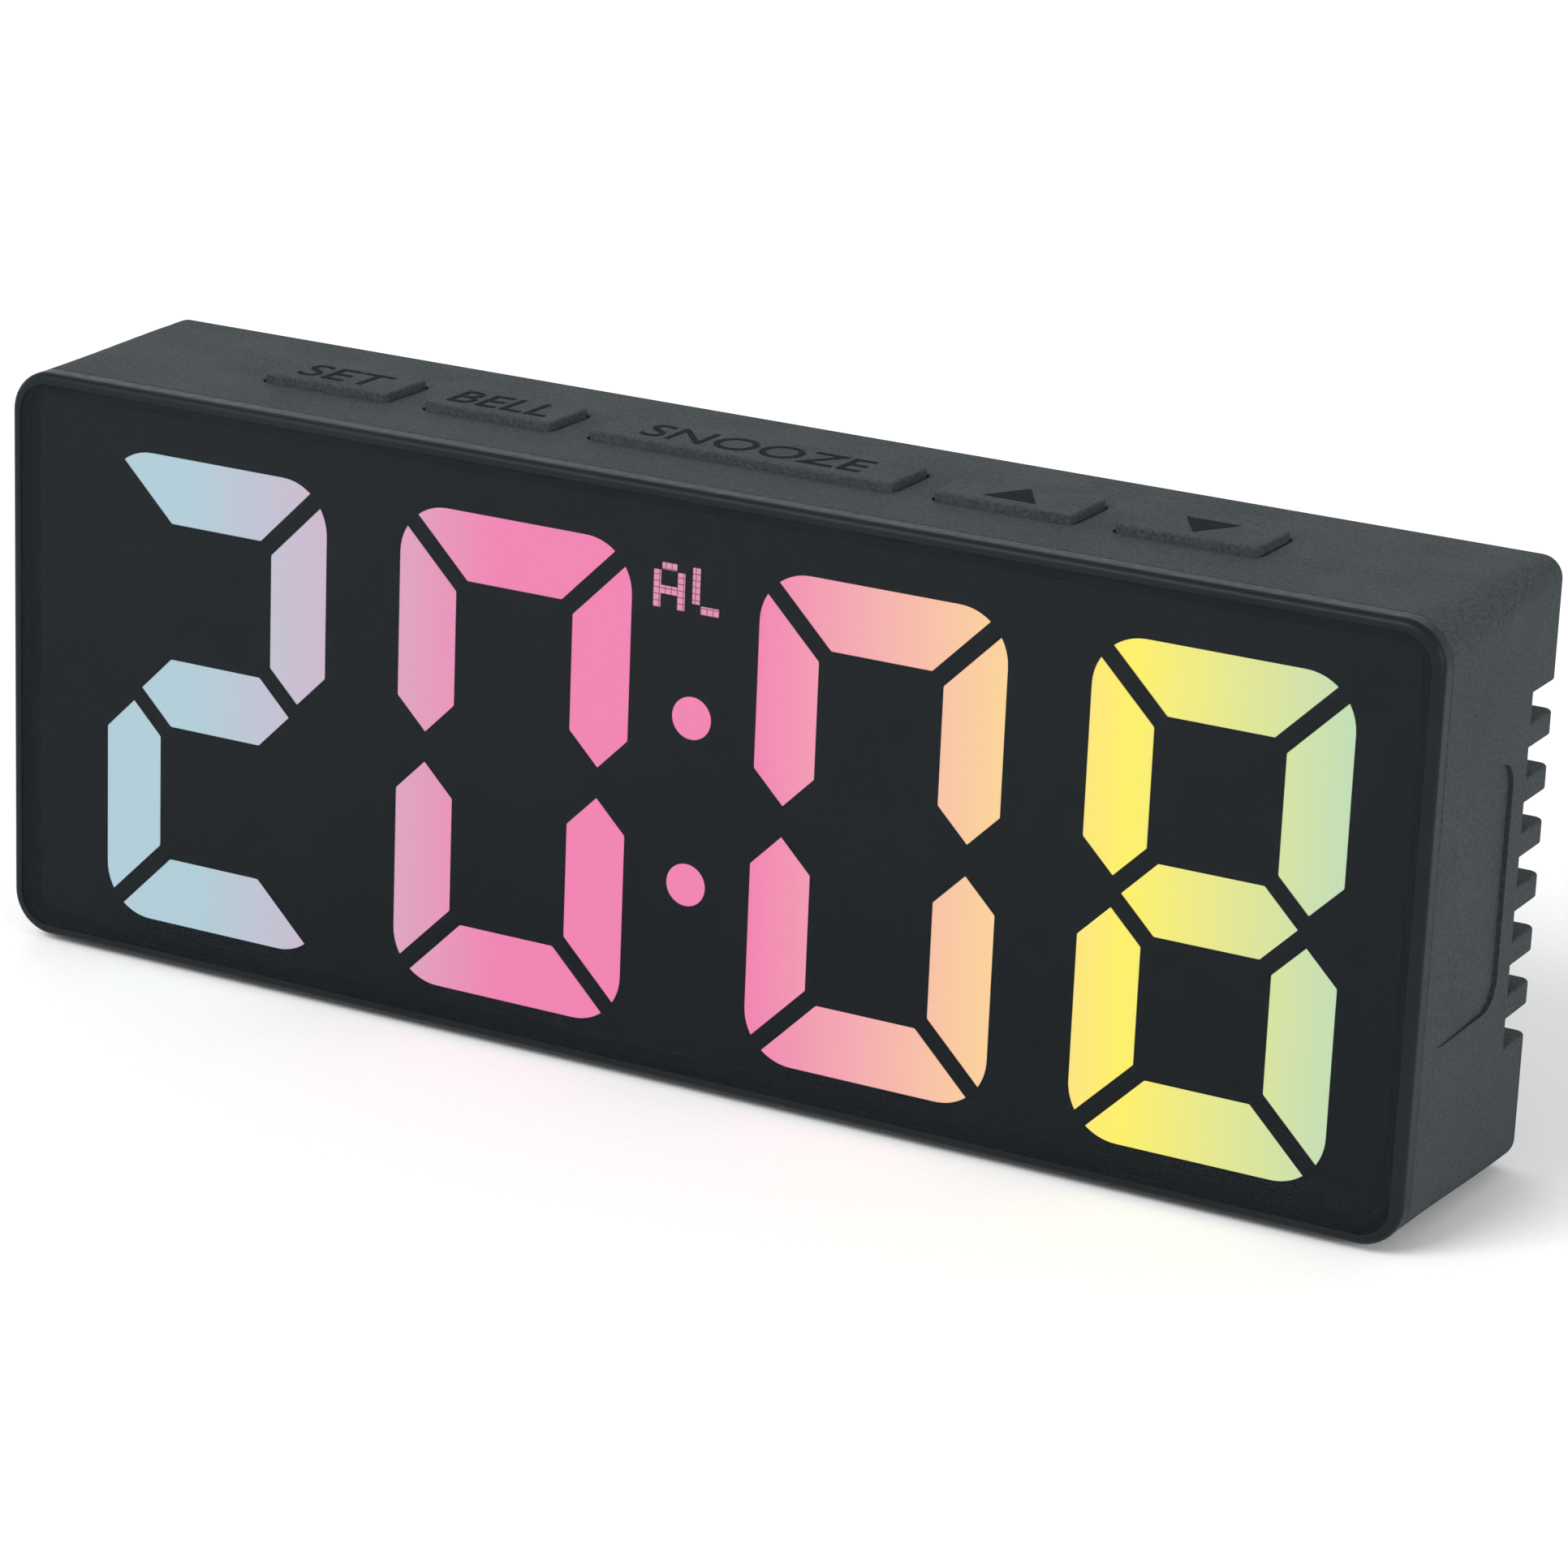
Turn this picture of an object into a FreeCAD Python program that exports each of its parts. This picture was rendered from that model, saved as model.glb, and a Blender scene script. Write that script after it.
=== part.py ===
"""Digital alarm clock with a wide LED display, built as an assembly of separate pieces.

Frame: +X to the right seen from the front, +Y to the back (the display faces -Y), +Z up.
The origin is on the table, under the middle of the clock.  Lengths are in millimetres.
"""

import FreeCAD, Part
import math
import os
import re

import Sketcher
from FreeCAD import Placement, Rotation, Vector

# alias, value, meaning
SIZES = [
    ("body_width", 160.0, "overall width of the case"),
    ("body_depth", 30.0, "overall depth, front of the frame to the back wall"),
    ("body_height", 61.5, "height of the case without its feet"),
    ("corner_radius", 4.5, "outline corners seen from the front"),
    ("rear_corner_radius", 2.2, "the same corners at the back wall"),
    ("back_rounding", 1.0, "rounding of the rear outline"),
    ("seam_rounding", 0.3, "small rounding on both sides of the seam behind the frame"),
    ("wall", 2.0, "case wall"),
    ("foot_height", 0.8, "how far the rubber feet stand out"),
    ("foot_radius", 4.0, "rubber foot"),
    ("foot_seat", 0.6, "depth of the seat a foot is glued into"),
    ("foot_play", 0.1, "gap around a foot in its seat"),
    ("foot_spread", 66.0, "foot distance from the middle, sideways"),
    ("foot_stance", 8.5, "foot distance from the middle, front to back"),
    ("frame_depth", 2.4, "visible depth of the glossy front frame"),
    ("frame_rim", 1.2, "width of the frame around the lens"),
    ("frame_ledge", 2.6, "inset of the ledge that the lens rests on"),
    ("frame_rounding", 0.9, "rounding of the frame's front edge"),
    ("skirt_length", 2.0, "part of the frame that plugs into the case"),
    ("skirt_play", 0.1, "gap between the frame's skirt and the case"),
    ("lens_thickness", 1.5, "tinted acrylic lens"),
    ("lens_recess", 0.1, "lens face behind the front of the frame"),
    ("lens_play", 0.05, "gap around the lens"),
    ("display_gap", 0.1, "lens to display mask"),
    ("display_play", 0.15, "gap around the display stack"),
    ("mask_thickness", 2.0, "black plate with the segment windows"),
    ("film_thickness", 0.2, "colour film behind the segment windows"),
    ("reflector_depth", 5.0, "light wells in front of the board"),
    ("board_thickness", 1.2, "printed circuit boards"),
    ("display_shift", 1.2, "display centre to the right of the case centre"),
    ("display_drop", 1.5, "display centre below the case centre"),
    ("digit_width", 27.0, "seven-segment figure"),
    ("digit_height", 50.7, "seven-segment figure"),
    ("digit_pitch", 35.85, "between the two figures of a pair"),
    ("colon_pitch", 41.4, "between the figures beside the colon"),
    ("upright_bar", 6.7, "width of an upright segment"),
    ("level_bar", 7.1, "height of the top and bottom segments"),
    ("middle_bar", 7.3, "height of the middle segment"),
    ("segment_gap", 1.85, "gap between neighbouring segments"),
    ("digit_rounding", 5.4, "outer corner of a figure"),
    ("colon_radius", 2.2, "colon dot"),
    ("colon_offset", 8.67, "colon dot above and below the display centre"),
    ("sign_height", 4.66, "alarm-on letters"),
    ("sign_stroke", 0.85, "stroke of the alarm-on letters"),
    ("sign_rise", 19.4, "foot of the alarm-on letters above the display centre"),
    ("sign_slit", 0.1, "cut between neighbouring strokes of the letters"),
    ("sign_first", 3.57, "width of the first letter"),
    ("sign_second", 3.06, "width of the second letter"),
    ("sign_bar", 1.864, "middle of the first letter's crossbar above its foot"),
    ("sign_shift", 4.81, "left end of the letters from the display centre"),
    ("key_width", 15.0, "ordinary key"),
    ("wide_key_width", 34.4, "snooze key"),
    ("key_depth", 8.05, "all keys, front to back"),
    ("key_rise", 0.9, "key top above the case"),
    ("key_play", 0.25, "gap around a key in its opening"),
    ("key_rounding", 0.7, "upright corners of a key"),
    ("key_edge", 0.25, "top edge of a key"),
    ("opening_rounding", 0.15, "rims of the key openings"),
    ("key_flange", 0.7, "retaining flange around a key, under the case top"),
    ("key_flange_height", 0.8, "thickness of that flange"),
    ("key_gap", 0.05, "flange below the case top at rest"),
    ("key_inner", 29.2, "inner small keys from the middle"),
    ("key_outer", 48.65, "outer small keys from the middle"),
    ("key_setback", 0.25, "key centre line behind the middle of the case"),
    ("key_stem", 3.0, "side of the square stem under a key"),
    ("switch_size", 6.0, "tact switch, square"),
    ("switch_height", 3.5, "tact switch body"),
    ("plunger_radius", 1.7, "tact switch plunger"),
    ("plunger_play", 0.1, "gap around the plunger in its switch"),
    ("plunger_rise", 1.2, "plunger above the switch body at rest"),
    ("plunger_hold", 1.2, "plunger inside the switch body at rest"),
    ("plunger_room", 2.0, "depth of the hole in the switch body"),
    ("key_board_top", 52.3, "upper face of the key board above the table"),
    ("key_board_play", 0.3, "gap between the key board and the case"),
    ("key_board_gap", 0.5, "gap between the key board and the main board"),
    ("key_board_corner", 1.0, "corners of the key board"),
    ("key_post_radius", 2.0, "posts under the case top that hold the key board"),
    ("key_post_back", 8.0, "posts behind the middle of the case"),
    ("groove_count", 7.0, "finger grooves at each rear corner"),
    ("groove_pitch", 5.5, "groove to groove"),
    ("groove_height", 3.0, "height of one groove"),
    ("groove_depth", 6.0, "how deep the grooves cut in from the back"),
    ("groove_wall", 1.8, "case wall in front of the grooves"),
    ("groove_reach", 15.0, "length of the grooves on the back wall"),
    ("groove_rounding", 0.3, "rims of the grooves"),
    ("grip_height", 32.1, "middle of grooves and side hollows above the table"),
    ("hollow_front", 4.2, "front end of the side hollow behind the front face"),
    ("hollow_length", 16.3, "side hollow, front to back"),
    ("hollow_height", 25.0, "side hollow, up and down"),
    ("hollow_rounding", 3.0, "corners of the side hollow"),
    ("hollow_start", 0.08, "depth of the side hollow at its front end"),
    ("hollow_depth", 0.5, "depth of the side hollow at its rear end"),
    ("bay_length", 50.0, "battery bay, sideways"),
    ("bay_height", 34.4, "battery bay, up and down"),
    ("bay_middle", 26.0, "middle of the battery bay above the table"),
    ("bay_floor", 2.7, "battery bay floor behind the middle of the case"),
    ("bay_wall", 1.2, "walls of the battery bay"),
    ("cell_radius", 5.2, "AAA cell"),
    ("cell_length", 43.7, "AAA cell without its nub"),
    ("nub_length", 0.8, "positive nub of a cell"),
    ("nub_radius", 1.9, "positive nub of a cell"),
    ("cell_pitch", 11.2, "between neighbouring cells"),
    ("cell_gap", 0.15, "gap between a cell and the bay floor"),
    ("nub_gap", 0.05, "gap between a nub and its contact plate"),
    ("contact_thickness", 0.4, "battery contact plates"),
    ("contact_width", 9.0, "contact plate behind one cell, up and down"),
    ("contact_depth", 9.2, "contact plates, front to back"),
    ("contact_lift", 0.4, "gap between the contact plates and the bay floor"),
    ("spring_wire", 0.35, "radius of the contact spring wire"),
    ("spring_turn", 0.9, "from one turn of a contact spring to the next"),
    ("spring_radius", 3.3, "widest turn of a contact spring"),
    ("spring_taper", 0.25, "how much smaller each next turn of a spring is"),
    ("spring_gap", 0.05, "gap between a spring and its plate"),
    ("lead_radius", 0.6, "insulated battery lead"),
    ("lead_place", 20.0, "battery leads from the middle, sideways"),
    ("lead_drop", 14.0, "battery leads below the middle of the bay"),
    ("door_thickness", 1.45, "battery door"),
    ("door_lip", 2.2, "ledge around the bay that the door rests on"),
    ("door_play", 0.2, "gap around the door"),
    ("door_rest", 0.05, "gap between the door and its ledge"),
    ("door_corner", 1.5, "corners of the ledge that the door lies in"),
    ("door_edge", 0.25, "rounding of the door's outer edge"),
    ("rib_place", 10.0, "locating ribs of the door from the middle, sideways"),
    ("rib_length", 8.0, "locating rib, sideways"),
    ("rib_width", 0.9, "locating rib, up and down"),
    ("rib_inset", 0.8, "middle of a locating rib inside the bay wall"),
    ("rib_rise", 1.0, "how far a locating rib stands into the bay"),
    ("ridge_count", 4.0, "finger slots in the door"),
    ("ridge_margin", 3.0, "first finger slot below the top of the bay"),
    ("ridge_pitch", 1.6, "finger slot to finger slot"),
    ("ridge_length", 16.0, "finger slot, sideways"),
    ("ridge_height", 0.7, "finger slot, up and down"),
    ("ridge_depth", 0.5, "finger slot"),
    ("screw_offset", 74.9, "board screws from the middle, sideways"),
    ("screw_rise", 25.6, "board screws above and below the case centre"),
    ("post_radius", 2.6, "posts that the main board is screwed to"),
    ("screw_core", 0.95, "radius of a screw's thread"),
    ("screw_head", 1.9, "radius of a screw's head"),
    ("screw_head_height", 1.2, "height of a screw's head"),
    ("screw_head_rounding", 0.4, "rim of a screw's head"),
    ("screw_length", 7.0, "depth of a screw's bore"),
    ("screw_spare", 0.6, "empty end of a screw's bore"),
    ("screw_play", 0.15, "gap around a screw in a board"),
    ("recess_length", 2.2, "cross recess of a screw"),
    ("recess_width", 0.5, "cross recess of a screw"),
    ("recess_depth", 0.6, "cross recess of a screw"),
    ("buzzer_place", 45.0, "buzzer from the middle, sideways"),
    ("buzzer_height", 26.0, "middle of the buzzer above the table"),
    ("buzzer_radius", 7.5, "buzzer case"),
    ("buzzer_depth", 4.0, "buzzer case"),
    ("buzzer_wall", 1.0, "wall of the buzzer case"),
    ("disc_place", 2.0, "buzzer disc behind the front of its case"),
    ("disc_thickness", 0.3, "buzzer disc"),
    ("sound_hole", 0.8, "radius of a sound hole in the back wall"),
    ("sound_ring", 2.56, "from one ring of sound holes to the next"),
    ("socket_place", -45.0, "power socket from the middle, sideways"),
    ("socket_height", 14.0, "middle of the power socket above the table"),
    ("socket_width", 8.94, "power socket shell"),
    ("socket_rise", 3.26, "power socket shell"),
    ("socket_length", 7.3, "power socket shell"),
    ("socket_wall", 0.3, "sheet metal of the socket shell"),
    ("socket_base", 0.8, "closed front end of the socket shell"),
    ("socket_inset", 0.6, "mouth of the socket inside the back face"),
    ("socket_play", 0.25, "gap around the socket in the back wall"),
    ("tongue_width", 6.7, "contact tongue of the socket"),
    ("tongue_length", 5.2, "contact tongue of the socket"),
    ("tongue_height", 0.7, "contact tongue of the socket"),
    ("socket_board_width", 16.0, "board under the socket, sideways"),
    ("socket_board_front", 3.0, "front edge of the board under the socket"),
    ("socket_board_depth", 9.8, "board under the socket, front to back"),
    ("support_place", 7.0, "ribs under that board from its middle, sideways"),
    ("support_width", 1.6, "rib under the socket's board"),
    ("support_depth", 7.0, "rib under the socket's board"),
]

DOC = FreeCAD.newDocument("alarm_clock")
SHEET = DOC.addObject("Spreadsheet::Sheet", "sizes")
ALIASES = {alias for alias, _, _ in SIZES}
NODES = []

FRONT = "(-body_depth / 2)"
BACK = "(body_depth / 2)"
MIDDLE = "(foot_height + body_height / 2)"
BOTTOM = "foot_height"
TOP = "(foot_height + body_height)"
CEILING = "(foot_height + body_height - wall)"
FRAME_BACK = f"({FRONT} + frame_depth)"
LENS_FRONT = f"({FRONT} + lens_recess)"
LENS_BACK = f"({LENS_FRONT} + lens_thickness)"
MASK_FRONT = f"({LENS_BACK} + display_gap)"
MASK_BACK = f"({MASK_FRONT} + mask_thickness)"
FILM_BACK = f"({MASK_BACK} + film_thickness)"
REFLECTOR_BACK = f"({FILM_BACK} + reflector_depth)"
BOARD_BACK = f"({REFLECTOR_BACK} + board_thickness)"
GROOVE_FLOOR = f"({BACK} - groove_depth)"
SIDE_FLOOR = f"({GROOVE_FLOOR} - groove_wall)"
BACK_FLOOR = f"({BACK} - wall)"
DOOR_FRONT = f"({BACK} - door_thickness)"
DOOR_SEAT = f"({DOOR_FRONT} - door_rest)"
KEY_TOP = f"({TOP} + key_rise)"
FLANGE_TOP = f"({CEILING} - key_gap)"
FLANGE_BOTTOM = f"({FLANGE_TOP} - key_flange_height)"
SWITCH_TOP = "(key_board_top + switch_height)"
PLUNGER_TOP = f"({SWITCH_TOP} + plunger_rise)"
KEY_BOARD_LOW = "(key_board_top - board_thickness)"
DISPLAY_MIDDLE = f"({MIDDLE} - display_drop)"
CELL_DEPTH = "(bay_floor + cell_gap + cell_radius)"
BACK_ROOM = "(body_width - 2 * (groove_reach + 2 * wall))"

# how far a cutting tool runs past the faces it cuts
PAST = 0.5
# how far a padded rib or stem sinks into the piece it stands on
SUNK = 0.2
# keeps an oval's two straight sides from vanishing
SLIVER = 0.01
NEAR = 1e-3


def fill_sheet():
    for row, (alias, value, meaning) in enumerate(SIZES, start=1):
        SHEET.set(f"A{row}", alias)
        SHEET.set(f"B{row}", f"{value:g}")
        SHEET.setAlias(f"B{row}", alias)
        SHEET.set(f"C{row}", meaning)
    DOC.recompute()


def bound(text):
    """The same expression with each alias read from the sheet."""
    return re.sub(
        r"[a-z_]+",
        lambda word: f"sizes.{word.group()}" if word.group() in ALIASES else word.group(),
        str(text),
    )


def number(text):
    """The present value of an expression, in millimetres."""
    return float(SHEET.evalExpression(bound(text)))


def minus(text):
    return f"-({text})"


# --- PartDesign helpers --------------------------------------------------------------------


def new_body(label):
    body = DOC.addObject("PartDesign::Body", "Body_" + label)
    body.Label = label
    body.Placement = Placement()
    return body


def origin_plane(body, role):
    return next(item for item in body.Origin.OriginFeatures if item.Role == role)


def new_sketch(body, role, level):
    """A sketch parallel to an origin plane, at a height along the plane's row axis."""
    sketch = body.newObject("Sketcher::SketchObject", "Sketch")
    sketch.AttachmentSupport = [(origin_plane(body, role), "")]
    sketch.MapMode = "FlatFace"
    along = minus(level) if role == "XZ_Plane" else level
    sketch.setExpression("AttachmentOffset.Base.z", bound(along))
    return sketch


def constrain(sketch, kind, *places, value=None):
    if value is None:
        return sketch.addConstraint(Sketcher.Constraint(kind, *places))
    index = sketch.addConstraint(Sketcher.Constraint(kind, *places, number(value)))
    sketch.setExpression(f"Constraints[{index}]", bound(value))
    return index


def draw_box(sketch, middle_x, middle_y, width, height, radius=None):
    """A rectangle centred on a point, with round corners if a radius is given."""
    half_w = number(width) / 2
    half_h = number(height) / 2
    cx = number(middle_x)
    cy = number(middle_y)
    r = number(radius) if radius else 0.0
    first = sketch.GeometryCount
    corners = [(1, -1), (1, 1), (-1, 1), (-1, -1)]
    for index, (sx, sy) in enumerate(corners):
        px, py = corners[index - 1]
        if index % 2 == 0:
            start = Vector(cx + px * (half_w - r), cy + py * half_h)
            end = Vector(cx + sx * (half_w - r), cy + sy * half_h)
        else:
            start = Vector(cx + px * half_w, cy + py * (half_h - r))
            end = Vector(cx + sx * half_w, cy + sy * (half_h - r))
        sketch.addGeometry(Part.LineSegment(start, end), False)
    if radius:
        for index, (sx, sy) in enumerate(corners):
            centre = Vector(cx + sx * (half_w - r), cy + sy * (half_h - r))
            turn = math.radians(90 * index - 90)
            circle = Part.Circle(centre, Vector(0, 0, 1), r)
            arc = Part.ArcOfCircle(circle, turn, turn + math.pi / 2)
            sketch.addGeometry(arc, False)
    lines = [first + index for index in range(4)]
    for index in range(4):
        following = lines[(index + 1) % 4]
        if radius:
            arc = first + 4 + index
            constrain(sketch, "Tangent", lines[index], 2, arc, 1)
            constrain(sketch, "Tangent", arc, 2, following, 1)
        else:
            constrain(sketch, "Coincident", lines[index], 2, following, 1)
        constrain(sketch, "Vertical" if index % 2 else "Horizontal", lines[index])
    if radius:
        for index in range(1, 4):
            constrain(sketch, "Equal", first + 4, first + 4 + index)
        constrain(sketch, "Radius", first + 4, value=radius)
    left = f"({middle_x}) - ({width}) / 2"
    low = f"({middle_y}) - ({height}) / 2"
    constrain(sketch, "DistanceX", lines[3], 1, lines[1], 1, value=width)
    constrain(sketch, "DistanceY", lines[0], 1, lines[2], 1, value=height)
    constrain(sketch, "DistanceX", -1, 1, lines[3], 1, value=left)
    constrain(sketch, "DistanceY", -1, 1, lines[0], 1, value=low)


def draw_disc(sketch, middle_x, middle_y, radius):
    centre = Vector(number(middle_x), number(middle_y))
    circle = Part.Circle(centre, Vector(0, 0, 1), number(radius))
    index = sketch.addGeometry(circle, False)
    constrain(sketch, "Radius", index, value=radius)
    constrain(sketch, "DistanceX", -1, 1, index, 3, value=middle_x)
    constrain(sketch, "DistanceY", -1, 1, index, 3, value=middle_y)


def draw(sketch, outlines):
    for outline in outlines:
        shape = draw_disc if len(outline) == 3 else draw_box
        shape(sketch, *outline)


def add_feature(body, kind, sketch, length, reverse=False):
    before = body.Shape.Volume if body.Tip else 0.0
    feature = body.newObject(f"PartDesign::{kind}", kind)
    feature.Profile = sketch
    feature.Reversed = reverse
    feature.setExpression("Length", bound(length))
    sketch.Visibility = False
    DOC.recompute()
    change = body.Shape.Volume - before
    if (change > 0) != (kind == "Pad") or abs(change) < NEAR:
        raise RuntimeError(f"{body.Label}: {feature.Name} changed the volume by {change:.3f}")
    return feature


def pad_y(body, outlines, low, high):
    """Material between two depths, outlined in X and Z."""
    sketch = new_sketch(body, "XZ_Plane", high)
    draw(sketch, outlines)
    return add_feature(body, "Pad", sketch, f"{high} - {low}")


def pocket_y(body, outlines, low, high):
    sketch = new_sketch(body, "XZ_Plane", low)
    draw(sketch, outlines)
    return add_feature(body, "Pocket", sketch, f"{high} - {low}")


def pad_z(body, outlines, low, high):
    """Material between two heights, outlined in X and Y."""
    sketch = new_sketch(body, "XY_Plane", low)
    draw(sketch, outlines)
    return add_feature(body, "Pad", sketch, f"{high} - {low}")


def pocket_z(body, outlines, low, high):
    sketch = new_sketch(body, "XY_Plane", high)
    draw(sketch, outlines)
    return add_feature(body, "Pocket", sketch, f"{high} - {low}")


def round_edges(body, chosen, radius):
    """Round the edges of the body's present shape that a test picks."""
    tip = body.Tip
    names = [
        f"Edge{index}"
        for index, edge in enumerate(tip.Shape.Edges, start=1)
        if chosen(edge.BoundBox)
    ]
    feature = body.newObject("PartDesign::Fillet", "Fillet")
    feature.Base = (tip, names)
    feature.setExpression("Radius", bound(radius))
    DOC.recompute()
    return feature


def at_depth(depth):
    """Edges that lie wholly in a plane across Y."""
    y = number(depth)
    return lambda box: abs(box.YMin - y) < NEAR and abs(box.YMax - y) < NEAR


def at_height(height):
    """Edges that lie wholly in a plane across Z."""
    z = number(height)
    return lambda box: abs(box.ZMin - z) < NEAR and abs(box.ZMax - z) < NEAR


# --- Part helpers --------------------------------------------------------------------------


def add_node(thing, label=None):
    if label:
        thing.Label = label
    NODES.append(thing)
    return thing


def place(thing, x, y, z):
    for axis, text in zip("xyz", (x, y, z)):
        thing.setExpression(f"Placement.Base.{axis}", bound(text))
    return thing


def block(x, y, z, length, depth, height):
    """A box by its lowest corner and its three sizes."""
    thing = DOC.addObject("Part::Box", "Block")
    thing.setExpression("Length", bound(length))
    thing.setExpression("Width", bound(depth))
    thing.setExpression("Height", bound(height))
    return place(thing, x, y, z)


def rod(x, y, z, radius, length, axis="z"):
    """A cylinder from the middle of its first end, along a row axis."""
    turns = {
        "x": Rotation(Vector(0, 1, 0), 90),
        "y": Rotation(Vector(1, 0, 0), -90),
        "z": Rotation(),
    }
    thing = DOC.addObject("Part::Cylinder", "Rod")
    thing.Placement = Placement(Vector(), turns[axis])
    thing.setExpression("Radius", bound(radius))
    thing.setExpression("Height", bound(length))
    return place(thing, x, y, z)


def cut(base, tool):
    thing = DOC.addObject("Part::Cut", "Cut")
    thing.Base = base
    thing.Tool = tool
    return thing


def fuse(things):
    thing = DOC.addObject("Part::MultiFuse", "Fusion")
    thing.Shapes = things
    return thing


def group(things):
    """Separate solids that share one node."""
    thing = DOC.addObject("Part::Compound", "Group")
    thing.Links = things
    return thing


def solid(shape, name="Solid"):
    thing = DOC.addObject("Part::Feature", name)
    thing.Shape = shape
    thing.Placement = Placement()
    return thing


# --- outlines ------------------------------------------------------------------------------


def case_outline(inset):
    """The front outline of the case, moved in by an inset."""
    width = f"body_width - 2 * ({inset})"
    height = f"body_height - 2 * ({inset})"
    return [("0", MIDDLE, width, height, f"corner_radius - ({inset})")]


def corner_discs(radius):
    """Four circles, one at each board screw."""
    return [
        (f"{side} * screw_offset", f"{MIDDLE} + {rise} * screw_rise", radius)
        for side in (-1, 1)
        for rise in (-1, 1)
    ]


def stack_inset():
    return "frame_ledge + display_play"


KEYS = [
    ("mode", "-key_outer", "key_width"),
    ("alarm", "-key_inner", "key_width"),
    ("snooze", "0", "wide_key_width"),
    ("up", "key_inner", "key_width"),
    ("down", "key_outer", "key_width"),
]


def key_outlines(margin, radius):
    return [
        (x, "key_setback", f"{width} + 2 * {margin}", f"key_depth + 2 * {margin}", radius)
        for _, x, width in KEYS
    ]


# --- case ----------------------------------------------------------------------------------


def make_rear_housing():
    """Deep tub with its back wall, battery bay, key openings, posts and finger grooves."""
    body = new_body("rear_housing")
    body.BaseFeature = make_case_block()
    DOC.recompute()
    round_edges(body, at_depth(BACK), "back_rounding")
    round_edges(body, at_depth(FRAME_BACK), "seam_rounding")
    pocket_y(body, case_outline("wall"), FRAME_BACK, SIDE_FLOOR)
    rebate = f"({FRAME_BACK} + skirt_length + 2 * skirt_play)"
    pocket_y(body, case_outline("frame_rim"), FRAME_BACK, rebate)
    back_room = ("0", MIDDLE, BACK_ROOM, "body_height - 2 * wall", "wall")
    pocket_y(body, [back_room], SIDE_FLOOR, BACK_FLOOR)
    cut_battery_bay(body)
    cut_grooves(body)
    openings = key_outlines("key_play", "key_rounding + key_play")
    pocket_z(body, openings, f"({CEILING} - {PAST})", f"({TOP} + {PAST})")
    round_edges(body, at_height(TOP), "opening_rounding")
    add_key_posts(body)
    add_board_posts(body)
    cut_side_hollows(body)
    cut_back_openings(body)
    feet = [
        (f"{side} * foot_spread", f"{end} * foot_stance", "foot_radius + foot_play")
        for side in (-1, 1)
        for end in (-1, 1)
    ]
    pocket_z(body, feet, f"({BOTTOM} - {PAST})", f"({BOTTOM} + foot_seat)")
    add_node(body)


def make_case_block():
    """The case as a solid block, its four long corners tighter behind than in front."""
    depth = f"{BACK} - {FRAME_BACK}"
    outer = block("-body_width / 2", FRAME_BACK, BOTTOM, "body_width", depth, "body_height")
    DOC.recompute()
    front = number("corner_radius")
    rear = number("rear_corner_radius")
    corners = []
    for index, edge in enumerate(outer.Shape.Edges, start=1):
        if edge.BoundBox.YLength > NEAR:
            first = edge.valueAt(edge.FirstParameter)
            last = edge.valueAt(edge.LastParameter)
            radii = (front, rear) if first.y < last.y else (rear, front)
            corners.append((index, *radii))
    rounded = DOC.addObject("Part::Fillet", "CaseBlock")
    rounded.Base = outer
    rounded.Edges = corners
    DOC.recompute()
    return rounded


def cut_battery_bay(body):
    """An open box for the cells behind the back wall, with a ledge for its door."""
    tub = ("0", "bay_middle", "bay_length + 2 * bay_wall", "bay_height + 2 * bay_wall")
    pad_y(body, [tub], "(bay_floor - bay_wall)", f"({BACK_FLOOR} + {SUNK})")
    bay = ("0", "bay_middle", "bay_length", "bay_height")
    pocket_y(body, [bay], "bay_floor", f"({BACK} + {PAST})")
    pocket_y(body, [door_outline("0")], DOOR_SEAT, f"({BACK} + {PAST})")


def door_outline(play):
    """The outline of the ledge around the bay, moved in by a gap."""
    width = f"bay_length + 2 * (door_lip - {play})"
    height = f"bay_height + 2 * (door_lip - {play})"
    return ("0", "bay_middle", width, height, f"door_corner - {play}")


def cut_grooves(body):
    """Level grooves that run from each side a short way along the back wall."""
    count = round(number("groove_count"))
    reach = f"(groove_reach + {PAST})"
    outlines = []
    for side in (-1, 1):
        middle = f"{side} * (body_width / 2 - groove_reach + {reach} / 2)"
        for index in range(count):
            height = f"grip_height + ({index} - (groove_count - 1) / 2) * groove_pitch"
            outlines.append((middle, height, reach, "groove_height"))
    pocket_y(body, outlines, GROOVE_FLOOR, f"({BACK} + {PAST})")
    round_edges(body, groove_rims(), "groove_rounding")


def groove_rims():
    """The sharp edges where the grooves meet the side and back faces."""
    side = number("body_width / 2")
    back = number(BACK)
    floor = number(GROOVE_FLOOR)
    end = side - number("groove_reach")
    low = number("grip_height - groove_count * groove_pitch / 2")
    high = number("grip_height + groove_count * groove_pitch / 2")
    rounding = number("back_rounding")

    def chosen(box):
        near = min(abs(box.XMin), abs(box.XMax))
        far = max(abs(box.XMin), abs(box.XMax))
        if near < end - NEAR or box.ZMin < low or box.ZMax > high or box.YMin < floor - NEAR:
            return False
        if box.ZLength > NEAR:
            ends_groove = near > side - NEAR and box.YMax < floor + NEAR
            return ends_groove or (box.YMin > back - NEAR and far < end + NEAR)
        on_side = near > side - NEAR
        on_back = box.YMin > back - NEAR
        on_corner = near > side - rounding - NEAR and box.YMin > back - rounding - NEAR
        return on_side or on_back or on_corner

    return chosen


def key_board_discs(radius):
    """Three circles, one at each key board screw."""
    return [
        (f"{side} * (key_inner + key_outer) / 2", "key_post_back", radius) for side in (-1, 0, 1)
    ]


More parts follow.
